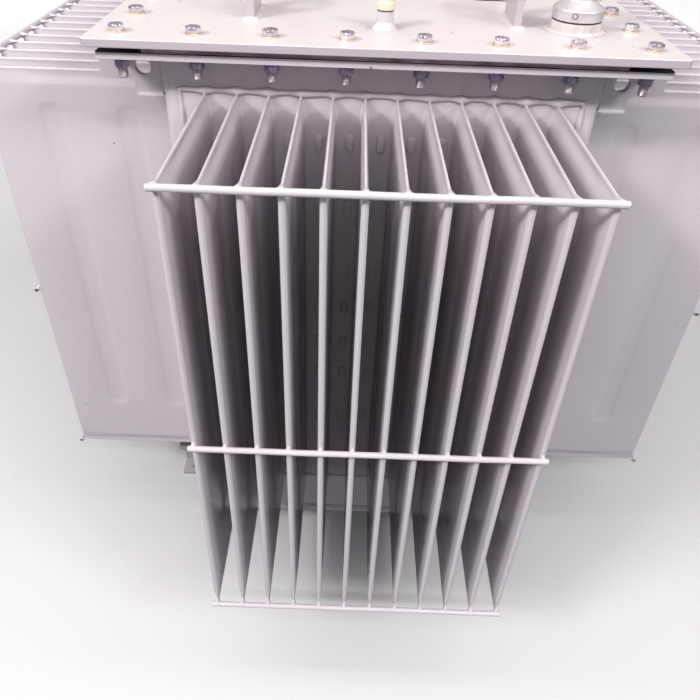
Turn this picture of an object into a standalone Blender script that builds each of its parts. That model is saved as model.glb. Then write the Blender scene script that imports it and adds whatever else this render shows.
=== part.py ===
"""Oil-filled power transformer with folded fin walls, modelled as separate named pieces.

The frame is +Z up, in metres. The origin is on the floor at the middle of the footprint, with the
short ends of the tank facing -Y (front) and +Y (rear) and its long sides facing -X and +X.
"""

import math

import bmesh
import bpy
from mathutils import Vector

OBJECT_NAME = "power_transformer"

# Clearance between pieces that seat on each other, and overrun of cutters past a face.
SEAT_GAP = 0.0003
CUT_OVERRUN = 0.01
WELD_DISTANCE = 0.00005

# Tank
TANK_WIDTH = 0.616
TANK_LENGTH = 1.240
TANK_CORNER_RADIUS = 0.010
SHELL_THICKNESS = 0.006
SHELL_HEIGHT = 0.957
FLOOR_PLATE_THICKNESS = 0.010
FLOOR_PLATE_LIP = 0.006
CORNER_STEPS = 3

# Rim of the tank and its cover
COVER_END_OVERHANG = 0.065
COVER_SIDE_OVERHANG = 0.080
COVER_THICKNESS = 0.011
FLANGE_INSET = 0.012
FLANGE_THICKNESS = 0.0095
GASKET_INSET = 0.021
GASKET_WIDTH = 0.038
GASKET_THICKNESS = 0.0075
COVER_CORNER_RADIUS = 0.006

# Skids: channels laid across under the tank, open sides outward
SKID_HEIGHT = 0.096
SKID_FLANGE_WIDTH = 0.048
SKID_WEB_THICKNESS = 0.0055
SKID_FLANGE_THICKNESS = 0.008
SKID_LENGTH = 0.860
SKID_SETBACK = 0.165
SKID_HOLE_RADIUS = 0.009
SKID_HOLE_END_DISTANCE = 0.030
SKID_HOLE_STEPS = 16

# Folded fin walls
FIN_PITCH = 0.045
FIN_DEPTH = 0.300
FIN_TOP_DROP = 0.053
FIN_BOTTOM_RISE = 0.101
FIN_THICKNESS = 0.0085
FIN_SHEET = 0.0015
FIN_PINCH_THICKNESS = 0.003
FIN_PINCH_HEIGHT = 0.013
FIN_SHOULDER_HEIGHT = 0.016
FIN_CREVICE = 0.0006
FIN_BANK_MARGIN = 0.0585
FIN_PANEL_RIM = 0.0365
NOSE_FLAT_SHARE = 0.45

# Tie rods along the outer edges of the fins
ROD_RADIUS = 0.0045
ROD_PAST_LAST_FIN = 0.0035
ROD_FROM_FIN_END = 0.0015
ROD_BEVEL_RESOLUTION = 2

# Lifting lugs on the corners of the tank
TANK_LUG_THICKNESS = 0.010
TANK_LUG_SETBACK = 0.004
TANK_LUG_REACH = 0.084
TANK_LUG_TAB_HEIGHT = 0.0405
TANK_LUG_ROOT_HEIGHT = 0.0635
TANK_LUG_ROOT_WIDTH = 0.038
TANK_LUG_STEP = 0.004
TANK_LUG_CHAMFER = 0.005
TANK_LUG_HOLE_RADIUS = 0.0112
TANK_LUG_HOLE_OUT = 0.024
TANK_LUG_HOLE_DROP = 0.024
LUG_HOLE_STEPS = 16

# Lifting lugs on the cover
COVER_LUG_THICKNESS = 0.010
COVER_LUG_LENGTH = 0.080
COVER_LUG_HEIGHT = 0.095
COVER_LUG_SIDE_INSET = 0.121
COVER_LUG_END_INSET = 0.064
COVER_LUG_HOLE_RADIUS = 0.019
COVER_LUG_CROWN_STEPS = 8

# Thermometer pocket on the cover
POCKET_INSET = 0.038
POCKET_RADIUS = 0.0113
POCKET_HEIGHT = 0.024
POCKET_CAP_RADIUS = 0.0122
POCKET_CAP_HEIGHT = 0.028
POCKET_CAP_EDGE = 0.003

# Filler on the cover: collar, seal, cap ring and neck
FILLER_SIDE_INSET = 0.039
FILLER_END_INSET = 0.070
FILLER_RADIUS = 0.035
FILLER_COLLAR_HEIGHT = 0.0135
FILLER_SEAL_HEIGHT = 0.0015
FILLER_SEAL_RADIUS = 0.0342
FILLER_RING_HEIGHT = 0.015
FILLER_RING_CHAMFER = 0.002
FILLER_SHOULDER_HEIGHT = 0.008
FILLER_NECK_RADIUS = 0.020
FILLER_NECK_HEIGHT = 0.050
FILLER_CAP_RADIUS = 0.026
FILLER_CAP_HEIGHT = 0.016
FILLER_CAP_EDGE = 0.003

# High-voltage bushings in a row along the cover
HV_SIDE_INSET = 0.148
HV_END_INSET = 0.350
HV_COUNT = 3
HV_BASE_RADIUS = 0.060
HV_BASE_HEIGHT = 0.016
HV_CORE_RADIUS = 0.030
HV_SHED_RADIUS = 0.052
HV_SHED_PITCH = 0.036
HV_SHED_COUNT = 5
HV_SHED_LIP = 0.006
HV_SHED_DROP = 0.010
HV_SHOULDER = 0.024
HV_TOP_RADIUS = 0.022
HV_TOP_HEIGHT = 0.018
HV_STUD_RADIUS = 0.008
HV_STUD_HEIGHT = 0.050
HV_CAP_RADIUS = 0.018
HV_CAP_HEIGHT = 0.014

# Low-voltage bushings in a row along the cover
LV_SIDE_INSET = 0.143
LV_END_INSET = 0.2975
LV_COUNT = 4
LV_BASE_RADIUS = 0.058
LV_BASE_HEIGHT = 0.014
LV_CORE_RADIUS = 0.040
LV_SHED_RADIUS = 0.052
LV_SHED_PITCH = 0.028
LV_SHED_COUNT = 2
LV_SHED_LIP = 0.007
LV_SHED_DROP = 0.007
LV_SHOULDER = 0.014
LV_TOP_RADIUS = 0.030
LV_TOP_HEIGHT = 0.012
LV_PALM_WIDTH = 0.080
LV_PALM_HEIGHT = 0.090
LV_PALM_THICKNESS = 0.014
LV_PALM_CORNER = 0.006
LV_PALM_HOLE_RADIUS = 0.0065
LV_PALM_HOLE_SPACING = 0.040
LV_PALM_HOLE_STEPS = 8
LV_FOOT_RADIUS = 0.027
LV_FOOT_HEIGHT = 0.016
LV_PALM_LAP = 0.002

# Tap switch on the cover between the bushing rows
TAP_FROM_CENTRE = 0.135
TAP_BASE_RADIUS = 0.045
TAP_BASE_HEIGHT = 0.012
TAP_BODY_RADIUS = 0.030
TAP_BODY_HEIGHT = 0.045
TAP_DOME_RADIUS = 0.024
TAP_GRIP_LENGTH = 0.044
TAP_GRIP_WIDTH = 0.012
TAP_GRIP_HEIGHT = 0.020

# Drain valve low on the rear end
DRAIN_SIDE_INSET = 0.093
DRAIN_RISE = 0.045
DRAIN_PAD_RADIUS = 0.034
DRAIN_PAD_THICKNESS = 0.010
DRAIN_BODY_RADIUS = 0.022
DRAIN_BODY_LENGTH = 0.050
DRAIN_CAP_RADIUS = 0.028
DRAIN_CAP_LENGTH = 0.014
DRAIN_EDGE = 0.002

# Core and windings inside the tank: a three-limb core with a coil on each limb
CORE_DEPTH = 0.200
CORE_LIMB_WIDTH = 0.150
CORE_LIMB_SPACING = 0.360
CORE_YOKE_HEIGHT = 0.150
CORE_TOP_CLEARANCE = 0.140
COIL_RADIUS = 0.172
COIL_YOKE_CLEARANCE = 0.020
COIL_STEPS = 16
LIMB_COUNT = 3

TURNED_STEPS = 16
BUSHING_STEPS = 12
SMOOTH_ANGLE = math.radians(35.0)
RIGHT_ANGLE = math.radians(90.0)

# Levels, from the floor up
FLOOR_PLATE_BOTTOM = SKID_HEIGHT + SEAT_GAP
FLOOR_PLATE_TOP = FLOOR_PLATE_BOTTOM + FLOOR_PLATE_THICKNESS
SHELL_BOTTOM = FLOOR_PLATE_TOP + SEAT_GAP
SHELL_TOP = SHELL_BOTTOM + SHELL_HEIGHT
FLANGE_BOTTOM = SHELL_TOP + SEAT_GAP
FLANGE_TOP = FLANGE_BOTTOM + FLANGE_THICKNESS
GASKET_BOTTOM = FLANGE_TOP + SEAT_GAP
GASKET_TOP = GASKET_BOTTOM + GASKET_THICKNESS
COVER_BOTTOM = GASKET_TOP + SEAT_GAP
COVER_TOP = COVER_BOTTOM + COVER_THICKNESS
ON_COVER = COVER_TOP + SEAT_GAP
FIN_TOP = SHELL_TOP - FIN_TOP_DROP
FIN_BOTTOM = SHELL_BOTTOM + FIN_BOTTOM_RISE

HALF_WIDTH = TANK_WIDTH / 2
HALF_LENGTH = TANK_LENGTH / 2


def make_collection(name):
    """Add a collection to the scene."""
    collection = bpy.data.collections.new(name)
    bpy.context.scene.collection.children.link(collection)
    return collection


def clear_scene():
    """Remove every object that the scene starts with."""
    for item in list(bpy.data.objects):
        bpy.data.objects.remove(item, do_unlink=True)


def make_material(name, colour, roughness, metallic):
    """A Principled material of one colour."""
    material = bpy.data.materials.new(name)
    material.use_nodes = True
    shader = material.node_tree.nodes["Principled BSDF"]
    shader.inputs["Base Color"].default_value = (*colour, 1.0)
    shader.inputs["Roughness"].default_value = roughness
    shader.inputs["Metallic"].default_value = metallic
    return material


def tank_paint(name):
    """Pale grey enamel of the tank and fins."""
    return make_material(name, (0.56, 0.53, 0.55), 0.42, 0.0)


def cover_paint(name):
    """Warm white enamel of the cover."""
    return make_material(name, (0.80, 0.75, 0.73), 0.40, 0.0)


def skid_paint(name):
    """Grey enamel of the skids."""
    return make_material(name, (0.42, 0.41, 0.42), 0.50, 0.0)


def gasket_rubber(name):
    """Red-brown rubber of the cover gasket."""
    return make_material(name, (0.26, 0.10, 0.08), 0.75, 0.0)


def seal_rubber(name):
    """Black rubber of the small seals."""
    return make_material(name, (0.02, 0.02, 0.02), 0.70, 0.0)


def cream_plastic(name):
    """Cream plastic of the pocket's cap."""
    return make_material(name, (0.78, 0.70, 0.52), 0.45, 0.0)


def fitting_metal(name):
    """Bare cast aluminium of the fittings."""
    return make_material(name, (0.55, 0.54, 0.53), 0.38, 0.9)


def core_steel(name):
    """Dark laminated steel of the core."""
    return make_material(name, (0.12, 0.12, 0.13), 0.60, 0.6)


def porcelain(name):
    """Brown glazed porcelain of the bushings."""
    return make_material(name, (0.13, 0.045, 0.022), 0.15, 0.0)


def terminal_metal(name):
    """Tinned copper of the bushing terminals."""
    return make_material(name, (0.62, 0.60, 0.55), 0.30, 1.0)


def shade_round(mesh):
    """Smooth shading with sharp edges kept."""
    mesh.shade_smooth()
    mesh.set_sharp_from_angle(angle=SMOOTH_ANGLE)


def link_mesh(name, mesh, material, collection):
    """Put a mesh in the collection as one named object."""
    piece = bpy.data.objects.new(name, mesh)
    collection.objects.link(piece)
    if material is not None:
        mesh.materials.append(material)
    return piece


def mesh_from_bmesh(name, work):
    """Turn an edit mesh into a mesh with its faces pointing out."""
    bmesh.ops.recalc_face_normals(work, faces=work.faces[:])
    mesh = bpy.data.meshes.new(name)
    work.to_mesh(mesh)
    work.free()
    return mesh


def box_mesh(name, low, high):
    """A box between two corners."""
    work = bmesh.new()
    bmesh.ops.create_cube(work, size=1.0)
    size = Vector(high) - Vector(low)
    middle = (Vector(high) + Vector(low)) / 2
    bmesh.ops.scale(work, vec=size, verts=work.verts[:])
    bmesh.ops.translate(work, vec=middle, verts=work.verts[:])
    return mesh_from_bmesh(name, work)


def rounded_rectangle(width, length, radius, steps):
    """Points round a rectangle with arcs at its corners, counter-clockwise."""
    points = []
    corners = ((1, 1), (-1, 1), (-1, -1), (1, -1))
    for turn, (side_x, side_y) in enumerate(corners):
        centre_x = side_x * (width / 2 - radius)
        centre_y = side_y * (length / 2 - radius)
        for step in range(steps + 1):
            angle = (turn + step / steps) * RIGHT_ANGLE
            points.append((centre_x + radius * math.cos(angle), centre_y + radius * math.sin(angle)))
    return points


def circle_points(centre, radius, steps):
    """Points round a circle."""
    points = []
    for step in range(steps):
        angle = 2 * math.pi * step / steps
        points.append((centre[0] + radius * math.cos(angle), centre[1] + radius * math.sin(angle)))
    return points


def flat_plate(name, outlines, thickness, material, collection):
    """A plate in the XY plane from an outer outline and any holes, centred on Z = 0."""
    curve = bpy.data.curves.new(name, "CURVE")
    curve.dimensions = "2D"
    curve.fill_mode = "BOTH"
    curve.extrude = thickness / 2
    for outline in outlines:
        spline = curve.splines.new("POLY")
        spline.points.add(len(outline) - 1)
        for point, (x, y) in zip(spline.points, outline):
            point.co = (x, y, 0.0, 1.0)
        spline.use_cyclic_u = True
    piece = bpy.data.objects.new(name, curve)
    collection.objects.link(piece)
    curve.materials.append(material)
    return piece


def as_mesh(piece, collection):
    """Replace a curve object by its mesh, with the caps welded on."""
    bpy.context.view_layer.update()
    graph = bpy.context.evaluated_depsgraph_get()
    mesh = bpy.data.meshes.new_from_object(piece.evaluated_get(graph))
    work = bmesh.new()
    work.from_mesh(mesh)
    bmesh.ops.remove_doubles(work, verts=work.verts[:], dist=WELD_DISTANCE)
    work.to_mesh(mesh)
    work.free()
    name = piece.name
    place = piece.matrix_world.copy()
    bpy.data.objects.remove(piece, do_unlink=True)
    solid = bpy.data.objects.new(name, mesh)
    solid.matrix_world = place
    collection.objects.link(solid)
    return solid


def combine(piece, tool, label, operation):
    """Cut or extend one piece with a hidden shape."""
    tool.hide_render = True
    tool.display_type = "WIRE"
    modifier = piece.modifiers.new(label, "BOOLEAN")
    modifier.operation = operation
    modifier.solver = "EXACT"
    modifier.object = tool


def cut(piece, tool, label):
    """Take a hidden shape away from a piece."""
    combine(piece, tool, label, "DIFFERENCE")


def join(piece, tool, label):
    """Make a hidden shape part of a piece."""
    combine(piece, tool, label, "UNION")


def drill(name, centre, radius, half_depth, steps, collection):
    """A cylinder along Z that cuts or extends another piece."""
    work = bmesh.new()
    bmesh.ops.create_cone(
        work, cap_ends=True, segments=steps, radius1=radius, radius2=radius, depth=2 * half_depth)
    bmesh.ops.translate(work, vec=Vector(centre), verts=work.verts[:])
    return link_mesh(name, mesh_from_bmesh(name, work), None, collection)


def turned(name, profile, place, steps, material, collection):
    """A solid of revolution about Z from (radius, height) points, top to bottom."""
    mesh = bpy.data.meshes.new(name)
    verts = [(radius, 0.0, height) for radius, height in profile]
    edges = [(index, index + 1) for index in range(len(profile) - 1)]
    mesh.from_pydata(verts, edges, [])
    piece = link_mesh(name, mesh, material, collection)
    piece.location = place
    screw = piece.modifiers.new("turn", "SCREW")
    screw.steps = steps
    screw.render_steps = steps
    screw.use_merge_vertices = True
    screw.merge_threshold = WELD_DISTANCE
    screw.use_smooth_shade = True
    return piece


def straight_rod(name, start, end, radius, material, collection):
    """A round rod between two points."""
    curve = bpy.data.curves.new(name, "CURVE")
    curve.dimensions = "3D"
    curve.bevel_depth = radius
    curve.bevel_resolution = ROD_BEVEL_RESOLUTION
    curve.use_fill_caps = True
    spline = curve.splines.new("POLY")
    spline.points.add(1)
    spline.points[0].co = (*start, 1.0)
    spline.points[1].co = (*end, 1.0)
    piece = bpy.data.objects.new(name, curve)
    collection.objects.link(piece)
    curve.materials.append(material)
    return piece


def fin_count(wall_length):
    """How many fins fit on a wall between its plain margins."""
    return int((wall_length - 2 * FIN_BANK_MARGIN) / FIN_PITCH) + 1


def fin_centres(wall_length):
    """Places of the fins along a wall, centred on it."""
    count = fin_count(wall_length)
    first = -(count - 1) * FIN_PITCH / 2
    return [first + index * FIN_PITCH for index in range(count)]


def panel_width(wall_length):
    """Width of the folded panel on a wall: the bank of fins and its two rims."""
    return (fin_count(wall_length) - 1) * FIN_PITCH + 2 * FIN_PANEL_RIM


def fin_levels():
    """Heights where the fin's section changes, with its outer half-thickness and pocket half-width."""
    lower_pinch = FIN_BOTTOM + FIN_PINCH_HEIGHT
    upper_pinch = FIN_TOP - FIN_PINCH_HEIGHT
    pinched = FIN_PINCH_THICKNESS / 2
    full = FIN_THICKNESS / 2
    crevice = FIN_CREVICE / 2
    pocket = full - FIN_SHEET
    return [
        (FIN_BOTTOM, pinched, crevice),
        (lower_pinch, pinched, crevice),
        (lower_pinch + FIN_SHOULDER_HEIGHT, full, pocket),
        (upper_pinch - FIN_SHOULDER_HEIGHT, full, pocket),
        (upper_pinch, pinched, crevice),
        (FIN_TOP, pinched, crevice),
    ]


def fin_section(centre, half):
    """Outline of one fin seen from above, from root to root round its nose."""
    flat = half * NOSE_FLAT_SHARE
    return [
        (centre - half, 0.0),
        (centre - half, FIN_DEPTH - half),
        (centre - flat, FIN_DEPTH),
        (centre + flat, FIN_DEPTH),
        (centre + half, FIN_DEPTH - half),
        (centre + half, 0.0),
    ]


def add_strip(work, lower, upper):
    """Quads between two rows of points that match one to one."""
    for index in range(len(lower) - 1):
        work.faces.new((lower[index], lower[index + 1], upper[index + 1], upper[index]))


def folded_fin_mesh(name, wall_length):
    """A sheet folded into hollow fins whose ends are pinched flat.

    In its own frame the panel's face is on the plane Y = 0, its fins point to -Y, and it is centred
    on X = 0. The section is lofted through the levels: thin at both pinched ends, full between.
    """
    work = bmesh.new()
    centres = fin_centres(wall_length)
    half_width = panel_width(wall_length) / 2
    outer_rows = []
    back_rows = []
    pocket_rows = []
    for height, half, pocket in fin_levels():
        outline = [(-half_width, 0.0)]
        back = [(-half_width, FIN_SHEET)]
        deep = []
        for centre in centres:
            for along, out in fin_section(centre, half):
                outline.append((along, -out))
            for side in (-1, 1):
                back.append((centre + side * pocket, FIN_SHEET))
                deep.append((centre + side * pocket, FIN_THICKNESS / 2 - FIN_DEPTH))
        outline.append((half_width, 0.0))
        back.append((half_width, FIN_SHEET))
        outer_rows.append([work.verts.new((x, y, height)) for x, y in outline])
        back_rows.append([work.verts.new((x, y, height)) for x, y in back])
        pocket_rows.append((height, deep))
    for lower, upper in zip(outer_rows[:-1], outer_rows[1:]):
        add_strip(work, lower, upper)
    last_level = len(back_rows) - 1
    for level in range(last_level):
        lower = back_rows[level]
        upper = back_rows[level + 1]
        for index in range(len(lower) - 1):
            inside_pocket = index % 2 == 1
            if inside_pocket and 0 < level < last_level - 1:
                continue
            work.faces.new((lower[index], upper[index], upper[index + 1], lower[index + 1]))
        for column in (0, -1):
            work.faces.new((outer_rows[level][column], outer_rows[level + 1][column],
                            upper[column], lower[column]))
    for fin in range(len(centres)):
        add_pocket(work, fin, back_rows, pocket_rows)
    for level in (0, last_level):
        cap_level(work, len(centres), outer_rows[level], back_rows[level])
    return mesh_from_bmesh(name, work)


def add_pocket(work, fin, back_rows, pocket_rows):
    """The hollow of one fin: two sheets and the nose between them, closed where they are pinched."""
    left = 2 * fin + 1
    deep_rows = []
    mouth_rows = []
    for level in range(1, len(back_rows) - 1):
        height, deep = pocket_rows[level]
        pair = deep[2 * fin:2 * fin + 2]
        deep_rows.append([work.verts.new((x, y, height)) for x, y in pair])
        mouth_rows.append(back_rows[level][left:left + 2])
    for level in range(len(deep_rows) - 1):
        lower = (mouth_rows[level][0], deep_rows[level][0], deep_rows[level][1], mouth_rows[level][1])
        upper = (mouth_rows[level + 1][0], deep_rows[level + 1][0],
                 deep_rows[level + 1][1], mouth_rows[level + 1][1])
        add_strip(work, lower, upper)
    for level in (0, -1):
        work.faces.new((mouth_rows[level][0], deep_rows[level][0],
                        deep_rows[level][1], mouth_rows[level][1]))


def cap_level(work, count, outline, back):
    """Close the top or bottom edge of the folded sheet: valleys and pinched fins in turn."""
    per_fin = len(fin_section(0.0, FIN_THICKNESS))
    for fin in range(count):
        first = 1 + fin * per_fin
        section = outline[first:first + per_fin]
        left = back[2 * fin + 1]
        right = back[2 * fin + 2]
        work.faces.new((*section, right, left))
        work.faces.new((outline[first - 1], outline[first], left, back[2 * fin]))
    work.faces.new((outline[-2], outline[-1], back[-1], back[-2]))


def build_fin_walls(collection):
    """The four folded fin walls, each on its own side of the tank."""
    walls = (
        ("front_fin_wall", TANK_WIDTH, (0.0, -HALF_LENGTH, 0.0), 0),
        ("right_fin_wall", TANK_LENGTH, (HALF_WIDTH, 0.0, 0.0), 1),
        ("rear_fin_wall", TANK_WIDTH, (0.0, HALF_LENGTH, 0.0), 2),
        ("left_fin_wall", TANK_LENGTH, (-HALF_WIDTH, 0.0, 0.0), 3),
    )
    for name, wall_length, place, turns in walls:
        mesh = folded_fin_mesh(name, wall_length)
        shade_round(mesh)
        piece = link_mesh(name, mesh, tank_paint(name + "_paint"), collection)
        piece.location = place
        piece.rotation_euler = (0.0, 0.0, turns * RIGHT_ANGLE)


def build_tie_rods(collection):
    """Three rods across each bank of fins, at its top, middle and bottom."""
    rows = (
        ("upper", FIN_TOP - ROD_FROM_FIN_END),
        ("middle", (FIN_TOP + FIN_BOTTOM) / 2),
        ("lower", FIN_BOTTOM + ROD_FROM_FIN_END),
    )
    out = FIN_DEPTH + SEAT_GAP + ROD_RADIUS
    sides = (
        ("front", TANK_WIDTH, (0.0, -HALF_LENGTH - out), (1, 0)),
        ("right", TANK_LENGTH, (HALF_WIDTH + out, 0.0), (0, 1)),
        ("rear", TANK_WIDTH, (0.0, HALF_LENGTH + out), (1, 0)),
        ("left", TANK_LENGTH, (-HALF_WIDTH - out, 0.0), (0, 1)),
    )
    for side, wall_length, (x, y), (along_x, along_y) in sides:
        reach = fin_centres(wall_length)[-1] + FIN_THICKNESS / 2 + ROD_PAST_LAST_FIN
        for row, height in rows:
            name = side + "_" + row + "_tie_rod"
            start = (x - along_x * reach, y - along_y * reach, height)
            end = (x + along_x * reach, y + along_y * reach, height)
            straight_rod(name, start, end, ROD_RADIUS, tank_paint(name + "_paint"), collection)


def build_shell(collection, cutters):
    """The tank's walls: a tube with rounded corners and a window behind each fin wall."""
    outer = rounded_rectangle(TANK_WIDTH, TANK_LENGTH, TANK_CORNER_RADIUS, CORNER_STEPS)
    inner = rounded_rectangle(
        TANK_WIDTH - 2 * SHELL_THICKNESS, TANK_LENGTH - 2 * SHELL_THICKNESS,
        TANK_CORNER_RADIUS - SHELL_THICKNESS, CORNER_STEPS)
    shell = flat_plate("tank_shell", (outer, inner), SHELL_HEIGHT, tank_paint("tank_shell_paint"), collection)
    shell.location = (0.0, 0.0, (SHELL_BOTTOM + SHELL_TOP) / 2)
    shell = as_mesh(shell, collection)
    low_z = FIN_BOTTOM - SEAT_GAP
    high_z = FIN_TOP + SEAT_GAP
    end_half = panel_width(TANK_WIDTH) / 2 + SEAT_GAP
    side_half = panel_width(TANK_LENGTH) / 2 + SEAT_GAP
    far_x = HALF_WIDTH + CUT_OVERRUN
    far_y = HALF_LENGTH + CUT_OVERRUN
    ends = box_mesh("end_windows", (-end_half, -far_y, low_z), (end_half, far_y, high_z))
    sides = box_mesh("side_windows", (-far_x, -side_half, low_z), (far_x, side_half, high_z))
    cut(shell, link_mesh("end_windows", ends, None, cutters), "end_windows")
    cut(shell, link_mesh("side_windows", sides, None, cutters), "side_windows")


def ring_plate(name, outer_size, inner_size, radius, low, high, material, collection):
    """A flat frame of rounded outlines between two levels."""
    outer = rounded_rectangle(*outer_size, radius, CORNER_STEPS)
    inner = rounded_rectangle(*inner_size, radius, CORNER_STEPS)
    plate = flat_plate(name, (outer, inner), high - low, material, collection)
    plate.location = (0.0, 0.0, (low + high) / 2)
    return plate


def inset_from_cover(inset):
    """Width and length of the cover, less an inset on every side."""
    width = TANK_WIDTH + 2 * (COVER_SIDE_OVERHANG - inset)
    length = TANK_LENGTH + 2 * (COVER_END_OVERHANG - inset)
    return width, length


def build_rim_and_cover(collection):
    """Floor plate, rim flange, gasket and cover plate, stacked on the tank."""
    floor_outline = rounded_rectangle(
        TANK_WIDTH + 2 * FLOOR_PLATE_LIP, TANK_LENGTH + 2 * FLOOR_PLATE_LIP,
        TANK_CORNER_RADIUS, CORNER_STEPS)
    floor_plate = flat_plate(
        "tank_floor", (floor_outline,), FLOOR_PLATE_THICKNESS, tank_paint("tank_floor_paint"), collection)
    floor_plate.location = (0.0, 0.0, (FLOOR_PLATE_BOTTOM + FLOOR_PLATE_TOP) / 2)
    mouth = (TANK_WIDTH - 2 * SHELL_THICKNESS, TANK_LENGTH - 2 * SHELL_THICKNESS)
    ring_plate(
        "top_flange", inset_from_cover(FLANGE_INSET), mouth,
        COVER_CORNER_RADIUS, FLANGE_BOTTOM, FLANGE_TOP, tank_paint("top_flange_paint"), collection)
    ring_plate(
        "cover_gasket", inset_from_cover(GASKET_INSET), inset_from_cover(GASKET_INSET + GASKET_WIDTH),
        COVER_CORNER_RADIUS, GASKET_BOTTOM, GASKET_TOP, gasket_rubber("cover_gasket_rubber"), collection)
    cover_outline = rounded_rectangle(*inset_from_cover(0.0), COVER_CORNER_RADIUS, CORNER_STEPS)
    cover = flat_plate(
        "cover_plate", (cover_outline,), COVER_THICKNESS, cover_paint("cover_plate_paint"), collection)
    cover.location = (0.0, 0.0, (COVER_BOTTOM + COVER_TOP) / 2)


def tank_lug_outline(side):
    """Outline of a corner lug, out from the tank's side and down from the flange."""
    points = [
        (0.0, 0.0),
        (0.0, -TANK_LUG_ROOT_HEIGHT),
        (TANK_LUG_ROOT_WIDTH, -TANK_LUG_ROOT_HEIGHT),
        (TANK_LUG_ROOT_WIDTH, -TANK_LUG_TAB_HEIGHT - TANK_LUG_STEP),
        (TANK_LUG_ROOT_WIDTH + TANK_LUG_STEP, -TANK_LUG_TAB_HEIGHT),
        (TANK_LUG_REACH - TANK_LUG_CHAMFER, -TANK_LUG_TAB_HEIGHT),
        (TANK_LUG_REACH, -TANK_LUG_TAB_HEIGHT + TANK_LUG_CHAMFER),
        (TANK_LUG_REACH, 0.0),
    ]
    return [(side * x, y) for x, y in points]


def build_tank_lugs(collection):
    """Four lifting lugs on the tank's corners, just under the flange."""
    corners = (("front_left", -1, -1), ("front_right", 1, -1), ("rear_left", -1, 1), ("rear_right", 1, 1))
    for corner, side_x, side_y in corners:
        name = corner + "_tank_lug"
        hole = circle_points(
            (side_x * TANK_LUG_HOLE_OUT, -TANK_LUG_HOLE_DROP), TANK_LUG_HOLE_RADIUS, LUG_HOLE_STEPS)
        outlines = (tank_lug_outline(side_x), hole)
        lug = flat_plate(name, outlines, TANK_LUG_THICKNESS, tank_paint(name + "_paint"), collection)
        inward = HALF_LENGTH - TANK_LUG_SETBACK - TANK_LUG_THICKNESS / 2
        lug.location = (side_x * (HALF_WIDTH + SEAT_GAP), side_y * inward, SHELL_TOP)
        lug.rotation_euler = (RIGHT_ANGLE, 0.0, 0.0)


def cover_lug_outline():
    """A lug with straight sides and a round crown, standing on its foot."""
    half = COVER_LUG_LENGTH / 2
    centre = COVER_LUG_HEIGHT - half
    points = [(-half, 0.0), (half, 0.0)]
    for step in range(COVER_LUG_CROWN_STEPS + 1):
        angle = math.pi * step / COVER_LUG_CROWN_STEPS
        points.append((half * math.cos(angle), centre + half * math.sin(angle)))
    return points


def build_cover_lugs(collection):
    """Four lifting lugs that stand on the cover, two near each end."""
    inward = HALF_LENGTH - COVER_LUG_END_INSET - COVER_LUG_LENGTH / 2
    out = HALF_WIDTH - COVER_LUG_SIDE_INSET
    corners = (("front_left", -1, -1), ("front_right", 1, -1), ("rear_left", -1, 1), ("rear_right", 1, 1))
    for corner, side_x, side_y in corners:
        name = corner + "_cover_lug"
        hole_height = COVER_LUG_HEIGHT - COVER_LUG_LENGTH / 2
        hole = circle_points((0.0, hole_height), COVER_LUG_HOLE_RADIUS, LUG_HOLE_STEPS)
        lug = flat_plate(
            name, (cover_lug_outline(), hole), COVER_LUG_THICKNESS, cover_paint(name + "_paint"), collection)
        lug.location = (side_x * out, side_y * inward, ON_COVER)
        lug.rotation_euler = (RIGHT_ANGLE, 0.0, RIGHT_ANGLE)


def channel_outline():
    """Section of a skid channel, its web at x = 0 and its flanges towards +x."""
    return [
        (0.0, 0.0),
        (SKID_FLANGE_WIDTH, 0.0),
        (SKID_FLANGE_WIDTH, SKID_FLANGE_THICKNESS),
        (SKID_WEB_THICKNESS, SKID_FLANGE_THICKNESS),
        (SKID_WEB_THICKNESS, SKID_HEIGHT - SKID_FLANGE_THICKNESS),
        (SKID_FLANGE_WIDTH, SKID_HEIGHT - SKID_FLANGE_THICKNESS),
        (SKID_FLANGE_WIDTH, SKID_HEIGHT),
        (0.0, SKID_HEIGHT),
    ]


def build_skids(collection, cutters):
    """Two channels across under the tank, drilled near their ends for foundation bolts."""
    web_y = HALF_LENGTH - SKID_SETBACK - SKID_FLANGE_WIDTH
    flange_middle = (SKID_FLANGE_WIDTH + SKID_WEB_THICKNESS) / 2
    for label, side_y in (("front", -1), ("rear", 1)):
        name = label + "_skid"
        skid = flat_plate(name, (channel_outline(),), SKID_LENGTH, skid_paint(name + "_paint"), collection)
        skid.rotation_euler = (RIGHT_ANGLE, 0.0, side_y * RIGHT_ANGLE)
        skid.location = (0.0, side_y * web_y, 0.0)
        skid = as_mesh(skid, collection)
        for side_x in (-1, 1):
            hole_name = "%s_skid_hole_%d" % (label, side_x)
            along = SKID_LENGTH / 2 - SKID_HOLE_END_DISTANCE
            place = (side_x * along, side_y * (web_y + flange_middle), SKID_FLANGE_THICKNESS / 2)
            hole = drill(
                hole_name, place, SKID_HOLE_RADIUS, SKID_FLANGE_THICKNESS / 2 + CUT_OVERRUN,
                SKID_HOLE_STEPS, cutters)
            cut(skid, hole, hole_name)


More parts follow.
